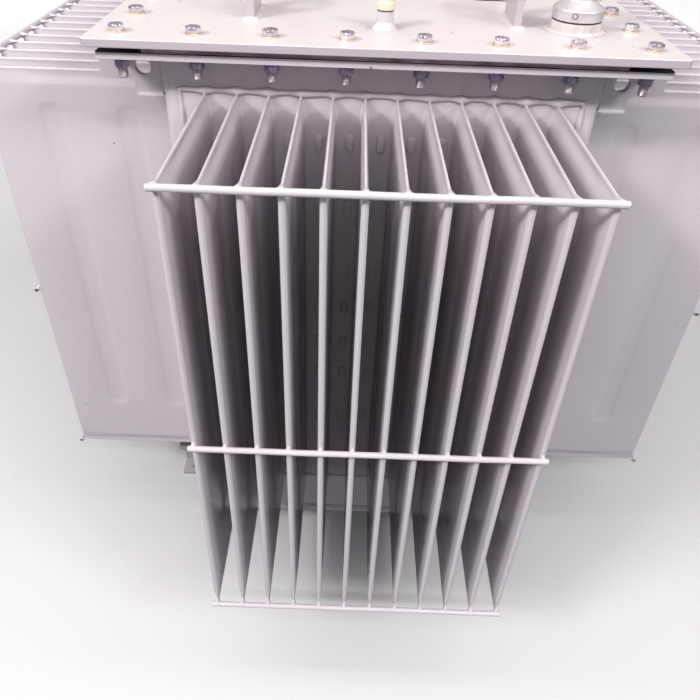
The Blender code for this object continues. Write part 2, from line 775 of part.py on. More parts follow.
def build_pocket(collection):
    """Thermometer pocket: a stub pipe in the cover with a loose cap on top."""
    y = -HALF_LENGTH + POCKET_INSET
    pipe = ((0.0, POCKET_HEIGHT), (POCKET_RADIUS, POCKET_HEIGHT), (POCKET_RADIUS, 0.0), (0.0, 0.0))
    turned("thermometer_pocket", pipe, (0.0, y, ON_COVER), TURNED_STEPS,
           tank_paint("thermometer_pocket_paint"), collection)
    top = POCKET_CAP_HEIGHT
    cap = (
        (0.0, top),
        (POCKET_CAP_RADIUS - POCKET_CAP_EDGE, top),
        (POCKET_CAP_RADIUS, top - POCKET_CAP_EDGE),
        (POCKET_CAP_RADIUS, 0.0),
        (0.0, 0.0),
    )
    turned("pocket_cap", cap, (0.0, y, ON_COVER + POCKET_HEIGHT + SEAT_GAP), TURNED_STEPS,
           cream_plastic("pocket_cap_plastic"), collection)


def build_filler(collection):
    """Filler: a collar on the cover, a seal, a clamping ring with the neck, and a screwed cap."""
    x = HALF_WIDTH - FILLER_SIDE_INSET
    y = -HALF_LENGTH + FILLER_END_INSET
    place_z = ON_COVER
    collar = (
        (0.0, FILLER_COLLAR_HEIGHT), (FILLER_RADIUS, FILLER_COLLAR_HEIGHT),
        (FILLER_RADIUS, 0.0), (0.0, 0.0))
    turned("filler_collar", collar, (x, y, place_z), TURNED_STEPS,
           tank_paint("filler_collar_paint"), collection)
    place_z += FILLER_COLLAR_HEIGHT + SEAT_GAP
    seal = (
        (0.0, FILLER_SEAL_HEIGHT), (FILLER_SEAL_RADIUS, FILLER_SEAL_HEIGHT),
        (FILLER_SEAL_RADIUS, 0.0), (0.0, 0.0))
    turned("filler_seal", seal, (x, y, place_z), TURNED_STEPS,
           seal_rubber("filler_seal_rubber"), collection)
    place_z += FILLER_SEAL_HEIGHT + SEAT_GAP
    shoulder_top = FILLER_RING_HEIGHT + FILLER_SHOULDER_HEIGHT
    neck_top = shoulder_top + FILLER_NECK_HEIGHT
    neck = (
        (0.0, neck_top),
        (FILLER_NECK_RADIUS, neck_top),
        (FILLER_NECK_RADIUS, shoulder_top),
        (FILLER_RADIUS - FILLER_RING_CHAMFER, FILLER_RING_HEIGHT),
        (FILLER_RADIUS, FILLER_RING_HEIGHT - FILLER_RING_CHAMFER),
        (FILLER_RADIUS, 0.0),
        (0.0, 0.0),
    )
    turned("filler_neck", neck, (x, y, place_z), TURNED_STEPS,
           fitting_metal("filler_neck_metal"), collection)
    place_z += neck_top + SEAT_GAP
    cap = (
        (0.0, FILLER_CAP_HEIGHT),
        (FILLER_CAP_RADIUS - FILLER_CAP_EDGE, FILLER_CAP_HEIGHT),
        (FILLER_CAP_RADIUS, FILLER_CAP_HEIGHT - FILLER_CAP_EDGE),
        (FILLER_CAP_RADIUS, 0.0),
        (0.0, 0.0),
    )
    turned("filler_cap", cap, (x, y, place_z), TURNED_STEPS,
           fitting_metal("filler_cap_metal"), collection)


def shed_profile(base_radius, base_height, core, shed, pitch, count, lip, drop, shoulder,
                 top_radius, top_height):
    """Profile of a porcelain body with sloping sheds, from its top down to its base."""
    bottom = base_height + shoulder
    top = bottom + count * pitch
    points = [(0.0, top + top_height), (top_radius, top + top_height), (core, top)]
    for index in range(count):
        level = top - index * pitch
        points.append((shed, level - drop - lip))
        points.append((shed, level - drop - 2 * lip))
        points.append((core, level - pitch))
    points.append((base_radius, base_height))
    points.append((base_radius, 0.0))
    points.append((0.0, 0.0))
    return points


def row_places(count, end_inset):
    """Places along the tank, the first and last an inset from its ends."""
    first = end_inset - HALF_LENGTH
    return [first - 2 * first * index / (count - 1) for index in range(count)]


def build_hv_bushings(collection):
    """Three high-voltage bushings: a shedded porcelain body and a stud with its cap."""
    profile = shed_profile(
        HV_BASE_RADIUS, HV_BASE_HEIGHT, HV_CORE_RADIUS, HV_SHED_RADIUS, HV_SHED_PITCH, HV_SHED_COUNT,
        HV_SHED_LIP, HV_SHED_DROP, HV_SHOULDER, HV_TOP_RADIUS, HV_TOP_HEIGHT)
    top = profile[0][1]
    stud = (
        (0.0, HV_CAP_HEIGHT + HV_STUD_HEIGHT),
        (HV_STUD_RADIUS, HV_CAP_HEIGHT + HV_STUD_HEIGHT),
        (HV_STUD_RADIUS, HV_CAP_HEIGHT),
        (HV_CAP_RADIUS, HV_CAP_HEIGHT),
        (HV_CAP_RADIUS, 0.0),
        (0.0, 0.0),
    )
    x = HV_SIDE_INSET - HALF_WIDTH
    for number, y in enumerate(row_places(HV_COUNT, HV_END_INSET), 1):
        body = "hv_bushing_%d" % number
        terminal = "hv_terminal_%d" % number
        turned(body, profile, (x, y, ON_COVER), BUSHING_STEPS, porcelain(body + "_glaze"), collection)
        turned(terminal, stud, (x, y, ON_COVER + top + SEAT_GAP), BUSHING_STEPS,
               terminal_metal(terminal + "_metal"), collection)


def build_lv_bushings(collection, cutters):
    """Four low-voltage bushings: a short porcelain body, and a drilled palm on a round foot."""
    profile = shed_profile(
        LV_BASE_RADIUS, LV_BASE_HEIGHT, LV_CORE_RADIUS, LV_SHED_RADIUS, LV_SHED_PITCH, LV_SHED_COUNT,
        LV_SHED_LIP, LV_SHED_DROP, LV_SHOULDER, LV_TOP_RADIUS, LV_TOP_HEIGHT)
    top = profile[0][1]
    palm_outline = rounded_rectangle(LV_PALM_WIDTH, LV_PALM_HEIGHT, LV_PALM_CORNER, CORNER_STEPS)
    holes = []
    for side_x in (-1, 1):
        for side_y in (-1, 1):
            centre = (side_x * LV_PALM_HOLE_SPACING / 2, side_y * LV_PALM_HOLE_SPACING / 2)
            holes.append(circle_points(centre, LV_PALM_HOLE_RADIUS, LV_PALM_HOLE_STEPS))
    x = HALF_WIDTH - LV_SIDE_INSET
    for number, y in enumerate(row_places(LV_COUNT, LV_END_INSET), 1):
        body = "lv_bushing_%d" % number
        palm = "lv_terminal_%d" % number
        turned(body, profile, (x, y, ON_COVER), BUSHING_STEPS, porcelain(body + "_glaze"), collection)
        seat = ON_COVER + top + SEAT_GAP
        plate = flat_plate(
            palm, (palm_outline, *holes), LV_PALM_THICKNESS, terminal_metal(palm + "_metal"), collection)
        plate.rotation_euler = (RIGHT_ANGLE, 0.0, RIGHT_ANGLE)
        plate.location = (x, y, seat + LV_FOOT_HEIGHT - LV_PALM_LAP + LV_PALM_HEIGHT / 2)
        plate = as_mesh(plate, collection)
        foot = drill(
            palm + "_foot", (x, y, seat + LV_FOOT_HEIGHT / 2), LV_FOOT_RADIUS, LV_FOOT_HEIGHT / 2,
            BUSHING_STEPS, cutters)
        join(plate, foot, palm + "_foot")


def build_tap_switch(collection, cutters):
    """Off-load tap switch: a turned housing with a grip across its top."""
    dome_top = TAP_BASE_HEIGHT + TAP_BODY_HEIGHT
    profile = (
        (0.0, dome_top),
        (TAP_DOME_RADIUS, dome_top),
        (TAP_BODY_RADIUS, dome_top - (TAP_BODY_RADIUS - TAP_DOME_RADIUS)),
        (TAP_BODY_RADIUS, TAP_BASE_HEIGHT),
        (TAP_BASE_RADIUS, TAP_BASE_HEIGHT),
        (TAP_BASE_RADIUS, 0.0),
        (0.0, 0.0),
    )
    housing = turned("tap_switch", profile, (0.0, TAP_FROM_CENTRE, ON_COVER), TURNED_STEPS,
                     fitting_metal("tap_switch_metal"), collection)
    grip_bottom = ON_COVER + dome_top - TAP_GRIP_HEIGHT / 2
    grip = box_mesh(
        "tap_grip",
        (-TAP_GRIP_LENGTH / 2, TAP_FROM_CENTRE - TAP_GRIP_WIDTH / 2, grip_bottom),
        (TAP_GRIP_LENGTH / 2, TAP_FROM_CENTRE + TAP_GRIP_WIDTH / 2, grip_bottom + TAP_GRIP_HEIGHT))
    join(housing, link_mesh("tap_grip", grip, None, cutters), "tap_grip")


def build_drain_valve(collection):
    """Drain valve: a pad welded on the tank's rear end, a short body and a cap."""
    body_top = DRAIN_PAD_THICKNESS + DRAIN_BODY_LENGTH
    profile = (
        (0.0, body_top),
        (DRAIN_BODY_RADIUS, body_top),
        (DRAIN_BODY_RADIUS, DRAIN_PAD_THICKNESS),
        (DRAIN_PAD_RADIUS, DRAIN_PAD_THICKNESS),
        (DRAIN_PAD_RADIUS, 0.0),
        (0.0, 0.0),
    )
    cap_profile = (
        (0.0, DRAIN_CAP_LENGTH),
        (DRAIN_CAP_RADIUS - DRAIN_EDGE, DRAIN_CAP_LENGTH),
        (DRAIN_CAP_RADIUS, DRAIN_CAP_LENGTH - DRAIN_EDGE),
        (DRAIN_CAP_RADIUS, 0.0),
        (0.0, 0.0),
    )
    x = HALF_WIDTH - DRAIN_SIDE_INSET
    height = SHELL_BOTTOM + DRAIN_RISE
    out = HALF_LENGTH + SEAT_GAP
    body = turned("drain_valve", profile, (x, out, height), TURNED_STEPS,
                  tank_paint("drain_valve_paint"), collection)
    body.rotation_euler = (-RIGHT_ANGLE, 0.0, 0.0)
    cap = turned("drain_cap", cap_profile, (x, out + body_top + SEAT_GAP, height), TURNED_STEPS,
                 fitting_metal("drain_cap_metal"), collection)
    cap.rotation_euler = (-RIGHT_ANGLE, 0.0, 0.0)


def build_core_and_windings(collection, cutters):
    """The core and its three coils inside the tank, as one body that stands on the tank's floor."""
    low = FLOOR_PLATE_TOP + SEAT_GAP
    high = SHELL_TOP - CORE_TOP_CLEARANCE
    half_depth = CORE_DEPTH / 2
    half_span = ((LIMB_COUNT - 1) * CORE_LIMB_SPACING + CORE_LIMB_WIDTH) / 2
    block = box_mesh("core_and_windings", (-half_depth, -half_span, low), (half_depth, half_span, high))
    core = link_mesh("core_and_windings", block, core_steel("core_steel"), collection)
    window_reach = half_depth + CUT_OVERRUN
    for index in range(LIMB_COUNT - 1):
        start = -half_span + CORE_LIMB_WIDTH + index * CORE_LIMB_SPACING
        end = start + CORE_LIMB_SPACING - CORE_LIMB_WIDTH
        name = "core_window_%d" % (index + 1)
        window = box_mesh(
            name, (-window_reach, start, low + CORE_YOKE_HEIGHT), (window_reach, end, high - CORE_YOKE_HEIGHT))
        cut(core, link_mesh(name, window, None, cutters), name)
    coil_half = (high - low) / 2 - CORE_YOKE_HEIGHT - COIL_YOKE_CLEARANCE
    for index in range(LIMB_COUNT):
        along = (index - (LIMB_COUNT - 1) / 2) * CORE_LIMB_SPACING
        name = "coil_%d" % (index + 1)
        coil = drill(name, (0.0, along, (low + high) / 2), COIL_RADIUS, coil_half, COIL_STEPS, cutters)
        join(core, coil, name)


def main():
    """Build every piece of the transformer."""
    clear_scene()
    collection = make_collection(OBJECT_NAME)
    cutters = make_collection("cutters")
    build_skids(collection, cutters)
    build_shell(collection, cutters)
    build_rim_and_cover(collection)
    build_fin_walls(collection)
    build_tie_rods(collection)
    build_tank_lugs(collection)
    build_cover_lugs(collection)
    build_pocket(collection)
    build_filler(collection)
    build_hv_bushings(collection)
    build_lv_bushings(collection, cutters)
    build_tap_switch(collection, cutters)
    build_drain_valve(collection)
    build_core_and_windings(collection, cutters)


main()
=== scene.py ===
"""Dress of an oil-filled power transformer with folded fin walls.

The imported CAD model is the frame. Each class below is one sub-assembly: its sizes are fields, one
method works out its surfaces, and one method gives them a finish and ties them to the frame. Lengths
are in metres, +Z is up, and the front end of the tank faces -Y.
"""

import logging
import math
from dataclasses import dataclass, field
from enum import Enum
from typing import Any, Sequence

import bmesh
import bpy
import numpy as np
from mathutils import Matrix, Vector


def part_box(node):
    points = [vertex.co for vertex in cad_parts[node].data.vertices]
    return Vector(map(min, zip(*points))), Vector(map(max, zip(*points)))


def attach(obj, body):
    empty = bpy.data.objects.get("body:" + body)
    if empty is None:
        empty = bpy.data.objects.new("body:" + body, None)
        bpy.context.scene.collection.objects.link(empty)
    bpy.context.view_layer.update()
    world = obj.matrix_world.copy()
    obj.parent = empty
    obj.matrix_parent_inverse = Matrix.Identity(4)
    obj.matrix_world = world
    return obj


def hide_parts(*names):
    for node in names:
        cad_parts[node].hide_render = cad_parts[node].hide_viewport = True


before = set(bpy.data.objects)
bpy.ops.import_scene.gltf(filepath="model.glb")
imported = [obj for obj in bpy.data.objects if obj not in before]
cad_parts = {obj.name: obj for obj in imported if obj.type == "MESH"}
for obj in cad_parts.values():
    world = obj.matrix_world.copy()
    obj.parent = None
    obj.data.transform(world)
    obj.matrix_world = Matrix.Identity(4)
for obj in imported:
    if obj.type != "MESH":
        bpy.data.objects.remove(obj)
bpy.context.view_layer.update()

BODY = "root"
WELD_DISTANCE = 0.00001
LOG = logging.getLogger("transformer_dress")
UP = (0.0, 0.0, 1.0)
PICTURE_WIDTH = 700.0

Array = np.ndarray
Colour = tuple[float, float, float]
Point = tuple[float, float, float]


# Surfaces as arrays


@dataclass
class Shape:
    """Points and faces of one or more surfaces.

    Attributes:
        points: Coordinates, one row of three for each point.
        faces: Arrays of corner indices, one array for each number of corners.
    """

    points: Array
    faces: list[Array]

    def moved(self, offset: Sequence[float]) -> "Shape":
        """The shape shifted by an offset."""
        return Shape(self.points + np.asarray(offset, float), self.faces)

    def mapped(self, columns: Sequence[Sequence[float]]) -> "Shape":
        """The shape with its own X, Y and Z axes laid along three given directions."""
        return Shape(self.points @ np.asarray(columns, float), self.faces)


def joined(shapes: Sequence[Shape]) -> Shape:
    """Put several shapes into one; every face index is raised by the points that come before it.

    Args:
        shapes: The shapes to join.

    Returns:
        One shape with all the points and faces.
    """
    starts = np.cumsum([0] + [len(shape.points) for shape in shapes[:-1]])
    points = np.concatenate([shape.points for shape in shapes])
    faces = [corners + start for shape, start in zip(shapes, starts) for corners in shape.faces]
    return Shape(points, faces)


def around(count: int) -> Array:
    """Evenly spaced angles round a circle, from 0 up."""
    return np.linspace(0.0, 2 * math.pi, count, endpoint=False)


def strip(first: Array, second: Array) -> Array:
    """Quads between lines of point numbers: (a, a+1) on the first line, then (b+1, b) on the second."""
    corners = [first[..., :-1], first[..., 1:], second[..., 1:], second[..., :-1]]
    return np.stack(corners, axis=-1).reshape(-1, 4)


def lattice(points: Array, wrap_rows: bool = False, wrap_columns: bool = False) -> Shape:
    """Quads over a grid: face (i, j) joins points (i, j), (i, j+1), (i+1, j+1) and (i+1, j).

    Args:
        points: Grid of coordinates, rows by columns by three.
        wrap_rows: Whether the last row is joined to the first.
        wrap_columns: Whether the last column is joined to the first.

    Returns:
        The surface.
    """
    rows, columns = points.shape[:2]
    index = np.arange(rows * columns).reshape(rows, columns)
    if wrap_rows:
        index = np.concatenate([index, index[:1]], axis=0)
    if wrap_columns:
        index = np.concatenate([index, index[:, :1]], axis=1)
    return Shape(points.reshape(-1, 3), [strip(index[:-1], index[1:])])


def copies(shape: Shape, places: Array, angles: Array | None = None) -> Shape:
    """Repeat a shape: point p of copy k lies at turn(angle k) p + place k, for all copies at once.

    Args:
        shape: The shape to repeat.
        places: One place for each copy.
        angles: Turn of each copy about Z, or None for no turn.

    Returns:
        All the copies as one shape.
    """
    places = np.atleast_2d(np.asarray(places, float))
    count = len(places)
    angles = np.zeros(count) if angles is None else np.asarray(angles, float)
    turn = np.zeros((count, 3, 3))
    turn[:, 0, 0] = turn[:, 1, 1] = np.cos(angles)
    turn[:, 1, 0] = np.sin(angles)
    turn[:, 0, 1] = -turn[:, 1, 0]
    turn[:, 2, 2] = 1.0
    points = np.einsum("kij,nj->kni", turn, shape.points) + places[:, None, :]
    shift = (np.arange(count) * len(shape.points))[:, None, None]
    faces = [(corners[None] + shift).reshape(-1, corners.shape[1]) for corners in shape.faces]
    return Shape(points.reshape(-1, 3), faces)


def softened(profile: Sequence[Sequence[float]], radius: float, steps: int = 3) -> Array:
    """Round the inner corners of a profile.

    A corner C becomes the curve (1-t)^2 A + 2t(1-t) C + t^2 B, where A and B lie a radius back along
    its two sides, or under half a side where that is short.

    Args:
        profile: Points of the profile.
        radius: How far the rounding reaches along each side.
        steps: Spans in each rounded corner.

    Returns:
        Points of the rounded profile.
    """
    line = np.asarray(profile, float)
    before, corner, after = line[:-2], line[1:-1], line[2:]
    back, ahead = before - corner, after - corner
    back_length = np.linalg.norm(back, axis=1, keepdims=True)
    ahead_length = np.linalg.norm(ahead, axis=1, keepdims=True)
    start = corner + back / back_length * np.minimum(radius, 0.45 * back_length)
    end = corner + ahead / ahead_length * np.minimum(radius, 0.45 * ahead_length)
    t = np.linspace(0.0, 1.0, steps + 1)[None, :, None]
    curve = (1 - t) ** 2 * start[:, None] + 2 * t * (1 - t) * corner[:, None] + t**2 * end[:, None]
    return np.concatenate([line[:1], curve.reshape(-1, 2), line[-1:]])


def lathe(profile: Array, segments: int, flats: int = 0) -> Shape:
    """Carry a profile of (radius, height) points round Z: (r cos a, r sin a, h).

    With flats, the radius is no more than that of a regular prism whose flats lie at the widest
    profile radius: w / cos(a - nearest flat's angle), so its corners are cut by the round profile.

    Args:
        profile: Points of (radius, height), which start and end on the axis.
        segments: Steps round the axis.
        flats: Number of flats, or 0 for a round shape.

    Returns:
        The closed surface.
    """
    angle = around(segments)
    radius = np.repeat(profile[:, :1], segments, axis=1)
    if flats:
        step = 2 * math.pi / flats
        off = (angle + step / 2) % step - step / 2
        width = profile[:, 0].max() * math.cos(step / 2)
        radius = np.minimum(radius, width / np.cos(off)[None, :])
    height = np.repeat(profile[:, 1:], segments, axis=1)
    points = np.stack([radius * np.cos(angle), radius * np.sin(angle), height], axis=-1)
    return lattice(points, wrap_columns=True)


def turned(
        rims: Sequence[tuple[float, float]], rounding: float, segments: int, steps: int = 3) -> Shape:
    """A turned solid: its profile runs from the axis out through the rims and back to the axis.

    Args:
        rims: Points of (radius, height), upwards.
        rounding: How far each of them is rounded.
        segments: Steps round the axis.
        steps: Spans in each rounded corner.

    Returns:
        The closed surface.
    """
    profile = ((0.0, rims[0][1]), *rims, (0.0, rims[-1][1]))
    return lathe(softened(profile, rounding, steps), segments)


def disc(radius: float, height: float, rounding: float, segments: int, steps: int = 3) -> Shape:
    """A flat disc with rounded rims."""
    return turned(((radius, 0.0), (radius, height)), rounding, segments, steps)


def grip_cap(
        radius: float, height: float, bevel: float, rounding: float, ribs: int, wave: float) -> Shape:
    """A cap with grip ribs: its outer radius is r (1 - wave (1 + cos(ribs a))).

    Args:
        radius: Radius of the cap.
        height: Height of the cap.
        bevel: Width of the bevel round its top.
        rounding: How far its rims are rounded.
        ribs: Number of ribs.
        wave: Share of the radius by which the ribs rise and fall.

    Returns:
        The closed surface on the plane Z = 0.
    """
    rims = ((radius, 0.0), (radius, height - bevel), (radius - bevel, height))
    shape = turned(rims, rounding, ribs * 4)
    x, y = shape.points[:, 0], shape.points[:, 1]
    share = 1 - wave * (1 + np.cos(ribs * np.arctan2(y, x))) * (np.hypot(x, y) > radius * 0.9)
    shape.points[:, 0] *= share
    shape.points[:, 1] *= share
    return shape


def tube(path: Array, radii: Array, sides: int, up: Point, flat: float = 1.0, closed: bool = False) -> Shape:
    """Carry a round section along a path.

    At each path point, with tangent T, side S = T x up and lift L = S x T, the section is
    P + r (cos a S + flat sin a L). An open path's ends close where their radius is nothing.

    Args:
        path: Points of the path.
        radii: Radius at each point.
        sides: Points round the section.
        up: Direction that the lift leans towards.
        flat: Share of the radius that the section has along the lift.
        closed: Whether the path is a loop.

    Returns:
        The surface.
    """
    if closed:
        tangent = np.roll(path, -1, axis=0) - np.roll(path, 1, axis=0)
    else:
        tangent = np.gradient(path, axis=0)
    tangent /= np.linalg.norm(tangent, axis=1, keepdims=True)
    side = np.cross(tangent, np.asarray(up, float))
    side /= np.linalg.norm(side, axis=1, keepdims=True)
    lift = np.cross(side, tangent)
    angle = around(sides)[None, :, None]
    ring = np.cos(angle) * side[:, None] + flat * np.sin(angle) * lift[:, None]
    points = path[:, None] + radii[:, None, None] * ring
    return lattice(points, wrap_rows=closed, wrap_columns=True)


def along(corners: Sequence[Point], spacing: float, closed: bool = False) -> Array:
    """Evenly spaced points on straight runs between corners, by length along the line.

    Args:
        corners: Corners of the line.
        spacing: About how far apart the points are.
        closed: Whether the line returns to its first corner.

    Returns:
        The points, with the first one not repeated at the end of a loop.
    """
    line = np.asarray(corners, float)
    if closed:
        line = np.concatenate([line, line[:1]])
    lengths = np.concatenate([[0.0], np.cumsum(np.linalg.norm(np.diff(line, axis=0), axis=1))])
    count = max(int(lengths[-1] / spacing), 4)
    places = np.linspace(0.0, lengths[-1], count + 1)[: count if closed else count + 1]
    return np.stack([np.interp(places, lengths, line[:, axis]) for axis in range(3)], axis=1)


def uneven(count: int, knots: int, seed: int, closed: bool = False) -> Array:
    """Smooth random values from -1 to 1: seeded knots joined by eased steps.

    Args:
        count: Number of values.
        knots: Number of random knots along them.
        seed: Seed of the knots.
        closed: Whether the last value meets the first.

    Returns:
        The values.
    """
    values = np.random.default_rng(seed).uniform(-1.0, 1.0, knots + 1)
    if closed:
        values[-1] = values[0]
    place = np.linspace(0.0, knots, count, endpoint=not closed)
    low = np.minimum(place.astype(int), knots - 1)
    t = eased(place - low)
    return values[low] * (1 - t) + values[low + 1] * t


def eased(values: Array) -> Array:
    """Smooth step t^2 (3 - 2t) of values held between 0 and 1."""
    t = np.clip(values, 0.0, 1.0)
    return t * t * (3 - 2 * t)


def weld_bead(corners: Sequence[Point], radius: float, up: Point, seed: int, closed: bool = False) -> Shape:
    """A painted weld bead: a flattened tube whose radius is r (1 + 0.16 slow + 0.10 quick noise).

    Args:
        corners: Corners of the seam.
        radius: Mean radius of the bead.
        up: Direction out of the plate that the bead lies on.
        seed: Seed of its unevenness.
        closed: Whether the seam is a loop.

    Returns:
        The bead's surface.
    """
    path = along(corners, radius * 0.9, closed)
    count = len(path)
    swell = 1 + 0.16 * uneven(count, max(count // 9, 3), seed, closed)
    swell += 0.10 * uneven(count, max(count // 3, 3), seed + 1, closed)
    radii = radius * swell
    if not closed:
        share = np.linspace(0.0, 1.0, count)
        radii *= np.sqrt(np.clip(np.minimum(share, 1 - share) * count / 3, 0.0, 1.0))
    return tube(path, radii, 8, up, 0.72, closed)


def ring_bead(ring: float, radius: float, seed: int) -> Shape:
    """A weld bead round a pipe: a flattened tube on the circle (R cos a, R sin a, 0).

    Args:
        ring: Radius of the ring.
        radius: Mean radius of the bead.
        seed: Seed of its unevenness.

    Returns:
        The bead's surface.
    """
    count = 72
    angle = around(count)
    path = np.stack([ring * np.cos(angle), ring * np.sin(angle), 0 * angle], axis=1)
    radii = radius * (1 + 0.20 * uneven(count, 11, seed, True) + 0.12 * uneven(count, 24, seed + 1, True))
    return tube(path, radii, 10, UP, 0.6, True)


def skirt_weld(radius: float, reach: float, rise: float, seed: int) -> Shape:
    """A lumpy fillet weld from a level plate up a pipe, closed underneath and inside.

    Its section at each angle is a hollow curve from (r + reach, 0) to (r, rise); reach and rise are
    scaled by 1 + 0.22 slow + 0.10 quick noise, and small ripples cross the slope.

    Args:
        radius: Radius of the pipe.
        reach: How far the fillet runs out on the plate.
        rise: How far it climbs the pipe.
        seed: Seed of its unevenness.

    Returns:
        The weld on the plane Z = 0, about the Z axis.
    """
    count = 96
    angle = around(count)[None, :]
    swell = 1 + 0.22 * uneven(count, 9, seed, True) + 0.10 * uneven(count, 29, seed + 1, True)
    climb = 1 + 0.18 * uneven(count, 13, seed + 2, True) + 0.10 * uneven(count, 34, seed + 3, True)
    share = np.linspace(0.0, 1.0, 9)[:, None]
    out = reach * swell * (1 - share) ** 1.25
    up = rise * climb * share**1.25
    bulge = 0.10 * reach * np.sin(math.pi * share) * (1 + 0.8 * uneven(count, 24, seed + 4, True))
    inside = np.full((2, count), radius - 0.001)
    radii = np.concatenate([radius + out + bulge, inside])
    levels = np.concatenate([up + bulge, rise * climb[None, :], np.full((1, count), 0.0)])
    return lattice(np.stack([radii * np.cos(angle), radii * np.sin(angle), levels], axis=-1), True, True)


def threaded_rod(radius: float, length: float, pitch: float, segments: int = 20) -> Shape:
    """A threaded rod on Z: radius r - 0.55 p |2 frac(h/p - a/2pi) - 1| / 2, with a cone at each end.

    Args:
        radius: Outer radius.
        length: Length of the rod.
        pitch: Pitch of the thread.
        segments: Steps round the rod.

    Returns:
        The closed surface.
    """
    rows = int(length / pitch * 4) + 1
    height = np.linspace(0.0, length, rows)[:, None]
    angle = around(segments)[None, :]
    phase = (height / pitch - angle / (2 * math.pi)) % 1.0
    wave = np.abs(2 * phase - 1)
    radii = radius - 0.55 * pitch * wave / 2
    from_end = np.minimum(height, length - height)
    radii = np.minimum(radii, radius * 0.8 + from_end)
    body = np.stack([radii * np.cos(angle), radii * np.sin(angle), height + 0 * angle], axis=-1)
    ends = np.zeros((1, segments, 3))
    top = ends + np.array([0.0, 0.0, length])
    return lattice(np.concatenate([ends, body, top]), wrap_columns=True)


def hex_profile(radius: float, height: float, chamfer: float, both: bool = False) -> Array:
    """Profile of a hexagon's round envelope, with its corners chamfered at the top or at both ends.

    Args:
        radius: Radius over the corners.
        height: Height of the head or nut.
        chamfer: Height of the chamfer.
        both: Whether the lower end is chamfered too.

    Returns:
        Points of (radius, height) from the lower middle to the upper middle.
    """
    inner = radius - 1.9 * chamfer
    low = [(inner, 0.0), (radius, chamfer)] if both else [(radius, 0.0)]
    levels = np.linspace(low[-1][1], height - chamfer, 4)[1:-1]
    middle = [(radius, level) for level in levels]
    return np.array([(0.0, 0.0), *low, *middle, (radius, height - chamfer), (inner, height), (0.0, height)])


# Node graphs and shared effects


class Graph:
    """Adds nodes to a node tree and links them.

    Attributes:
        MIX_INPUTS: Numbers of a Mix node's inputs for the share and the two colours.
        MIX_RESULT: Number of its output for a colour.
    """

    MIX_INPUTS = (0, 6, 7)
    MIX_RESULT = 2

    def __init__(self, tree: bpy.types.NodeTree) -> None:
        """Start on an empty tree."""
        self.tree = tree
        tree.nodes.clear()

    def add(self, kind: str, inputs: dict[Any, Any] | None = None, **settings: Any) -> bpy.types.Node:
        """Add a node, set its options, and fill or link its inputs.

        Args:
            kind: Blender's type name of the node.
            inputs: Values or output sockets by the name or number of the input.
            settings: Options of the node.

        Returns:
            The node.
        """
        node = self.tree.nodes.new(kind)
        for key, value in settings.items():
            setattr(node, key, value)
        for key, value in (inputs or {}).items():
            if isinstance(value, bpy.types.NodeSocket):
                self.link(value, node, key)
            else:
                node.inputs[key].default_value = value
        return node

    def link(self, value: Any, node: bpy.types.Node, key: Any) -> None:
        """Link a socket to a node's input."""
        self.tree.links.new(value, node.inputs[key])

    def noise(self, vector: Any, scale: Any, detail: float, roughness: float = 0.5) -> Any:
        """Value of a noise pattern."""
        values = {"Vector": vector, "Scale": scale, "Detail": detail, "Roughness": roughness}
        return self.add("ShaderNodeTexNoise", values).outputs["Fac"]

    def sums(self, operation: str, first: Any, second: Any) -> Any:
        """Result of a sum on two values."""
        return self.add("ShaderNodeMath", {0: first, 1: second}, operation=operation).outputs[0]

    def spread(self, value: Any, low: float, high: float, to_low: float, to_high: float) -> Any:
        """A value between two limits carried over to two others, and held there."""
        inputs = {"Value": value, "From Min": low, "From Max": high, "To Min": to_low, "To Max": to_high}
        return self.add("ShaderNodeMapRange", inputs).outputs["Result"]

    def blend(self, share: Any, first: Any, second: Any) -> Any:
        """Colour between two colours.

        Args:
            share: Share of the second colour.
            first: Colour at no share.
            second: Colour at full share.

        Returns:
            The colour.
        """
        first, second = [(*tone, 1.0) if isinstance(tone, tuple) else tone for tone in (first, second)]
        inputs = dict(zip(self.MIX_INPUTS, (share, first, second)))
        return self.add("ShaderNodeMix", inputs, data_type="RGBA").outputs[self.MIX_RESULT]

    def stretched(self, vector: Any, scale: Point) -> Any:
        """A vector scaled along each axis."""
        inputs = {"Vector": vector, "Scale": scale}
        return self.add("ShaderNodeMapping", inputs).outputs["Vector"]


class Effect(Enum):
    """Surface effects that several finishes share."""

    ENAMEL = "enamel_skin"
    DUST = "settled_dust"
    STREAKS = "run_streaks"
    TURNING = "turning_lines"
    BLOOM = "zinc_bloom"


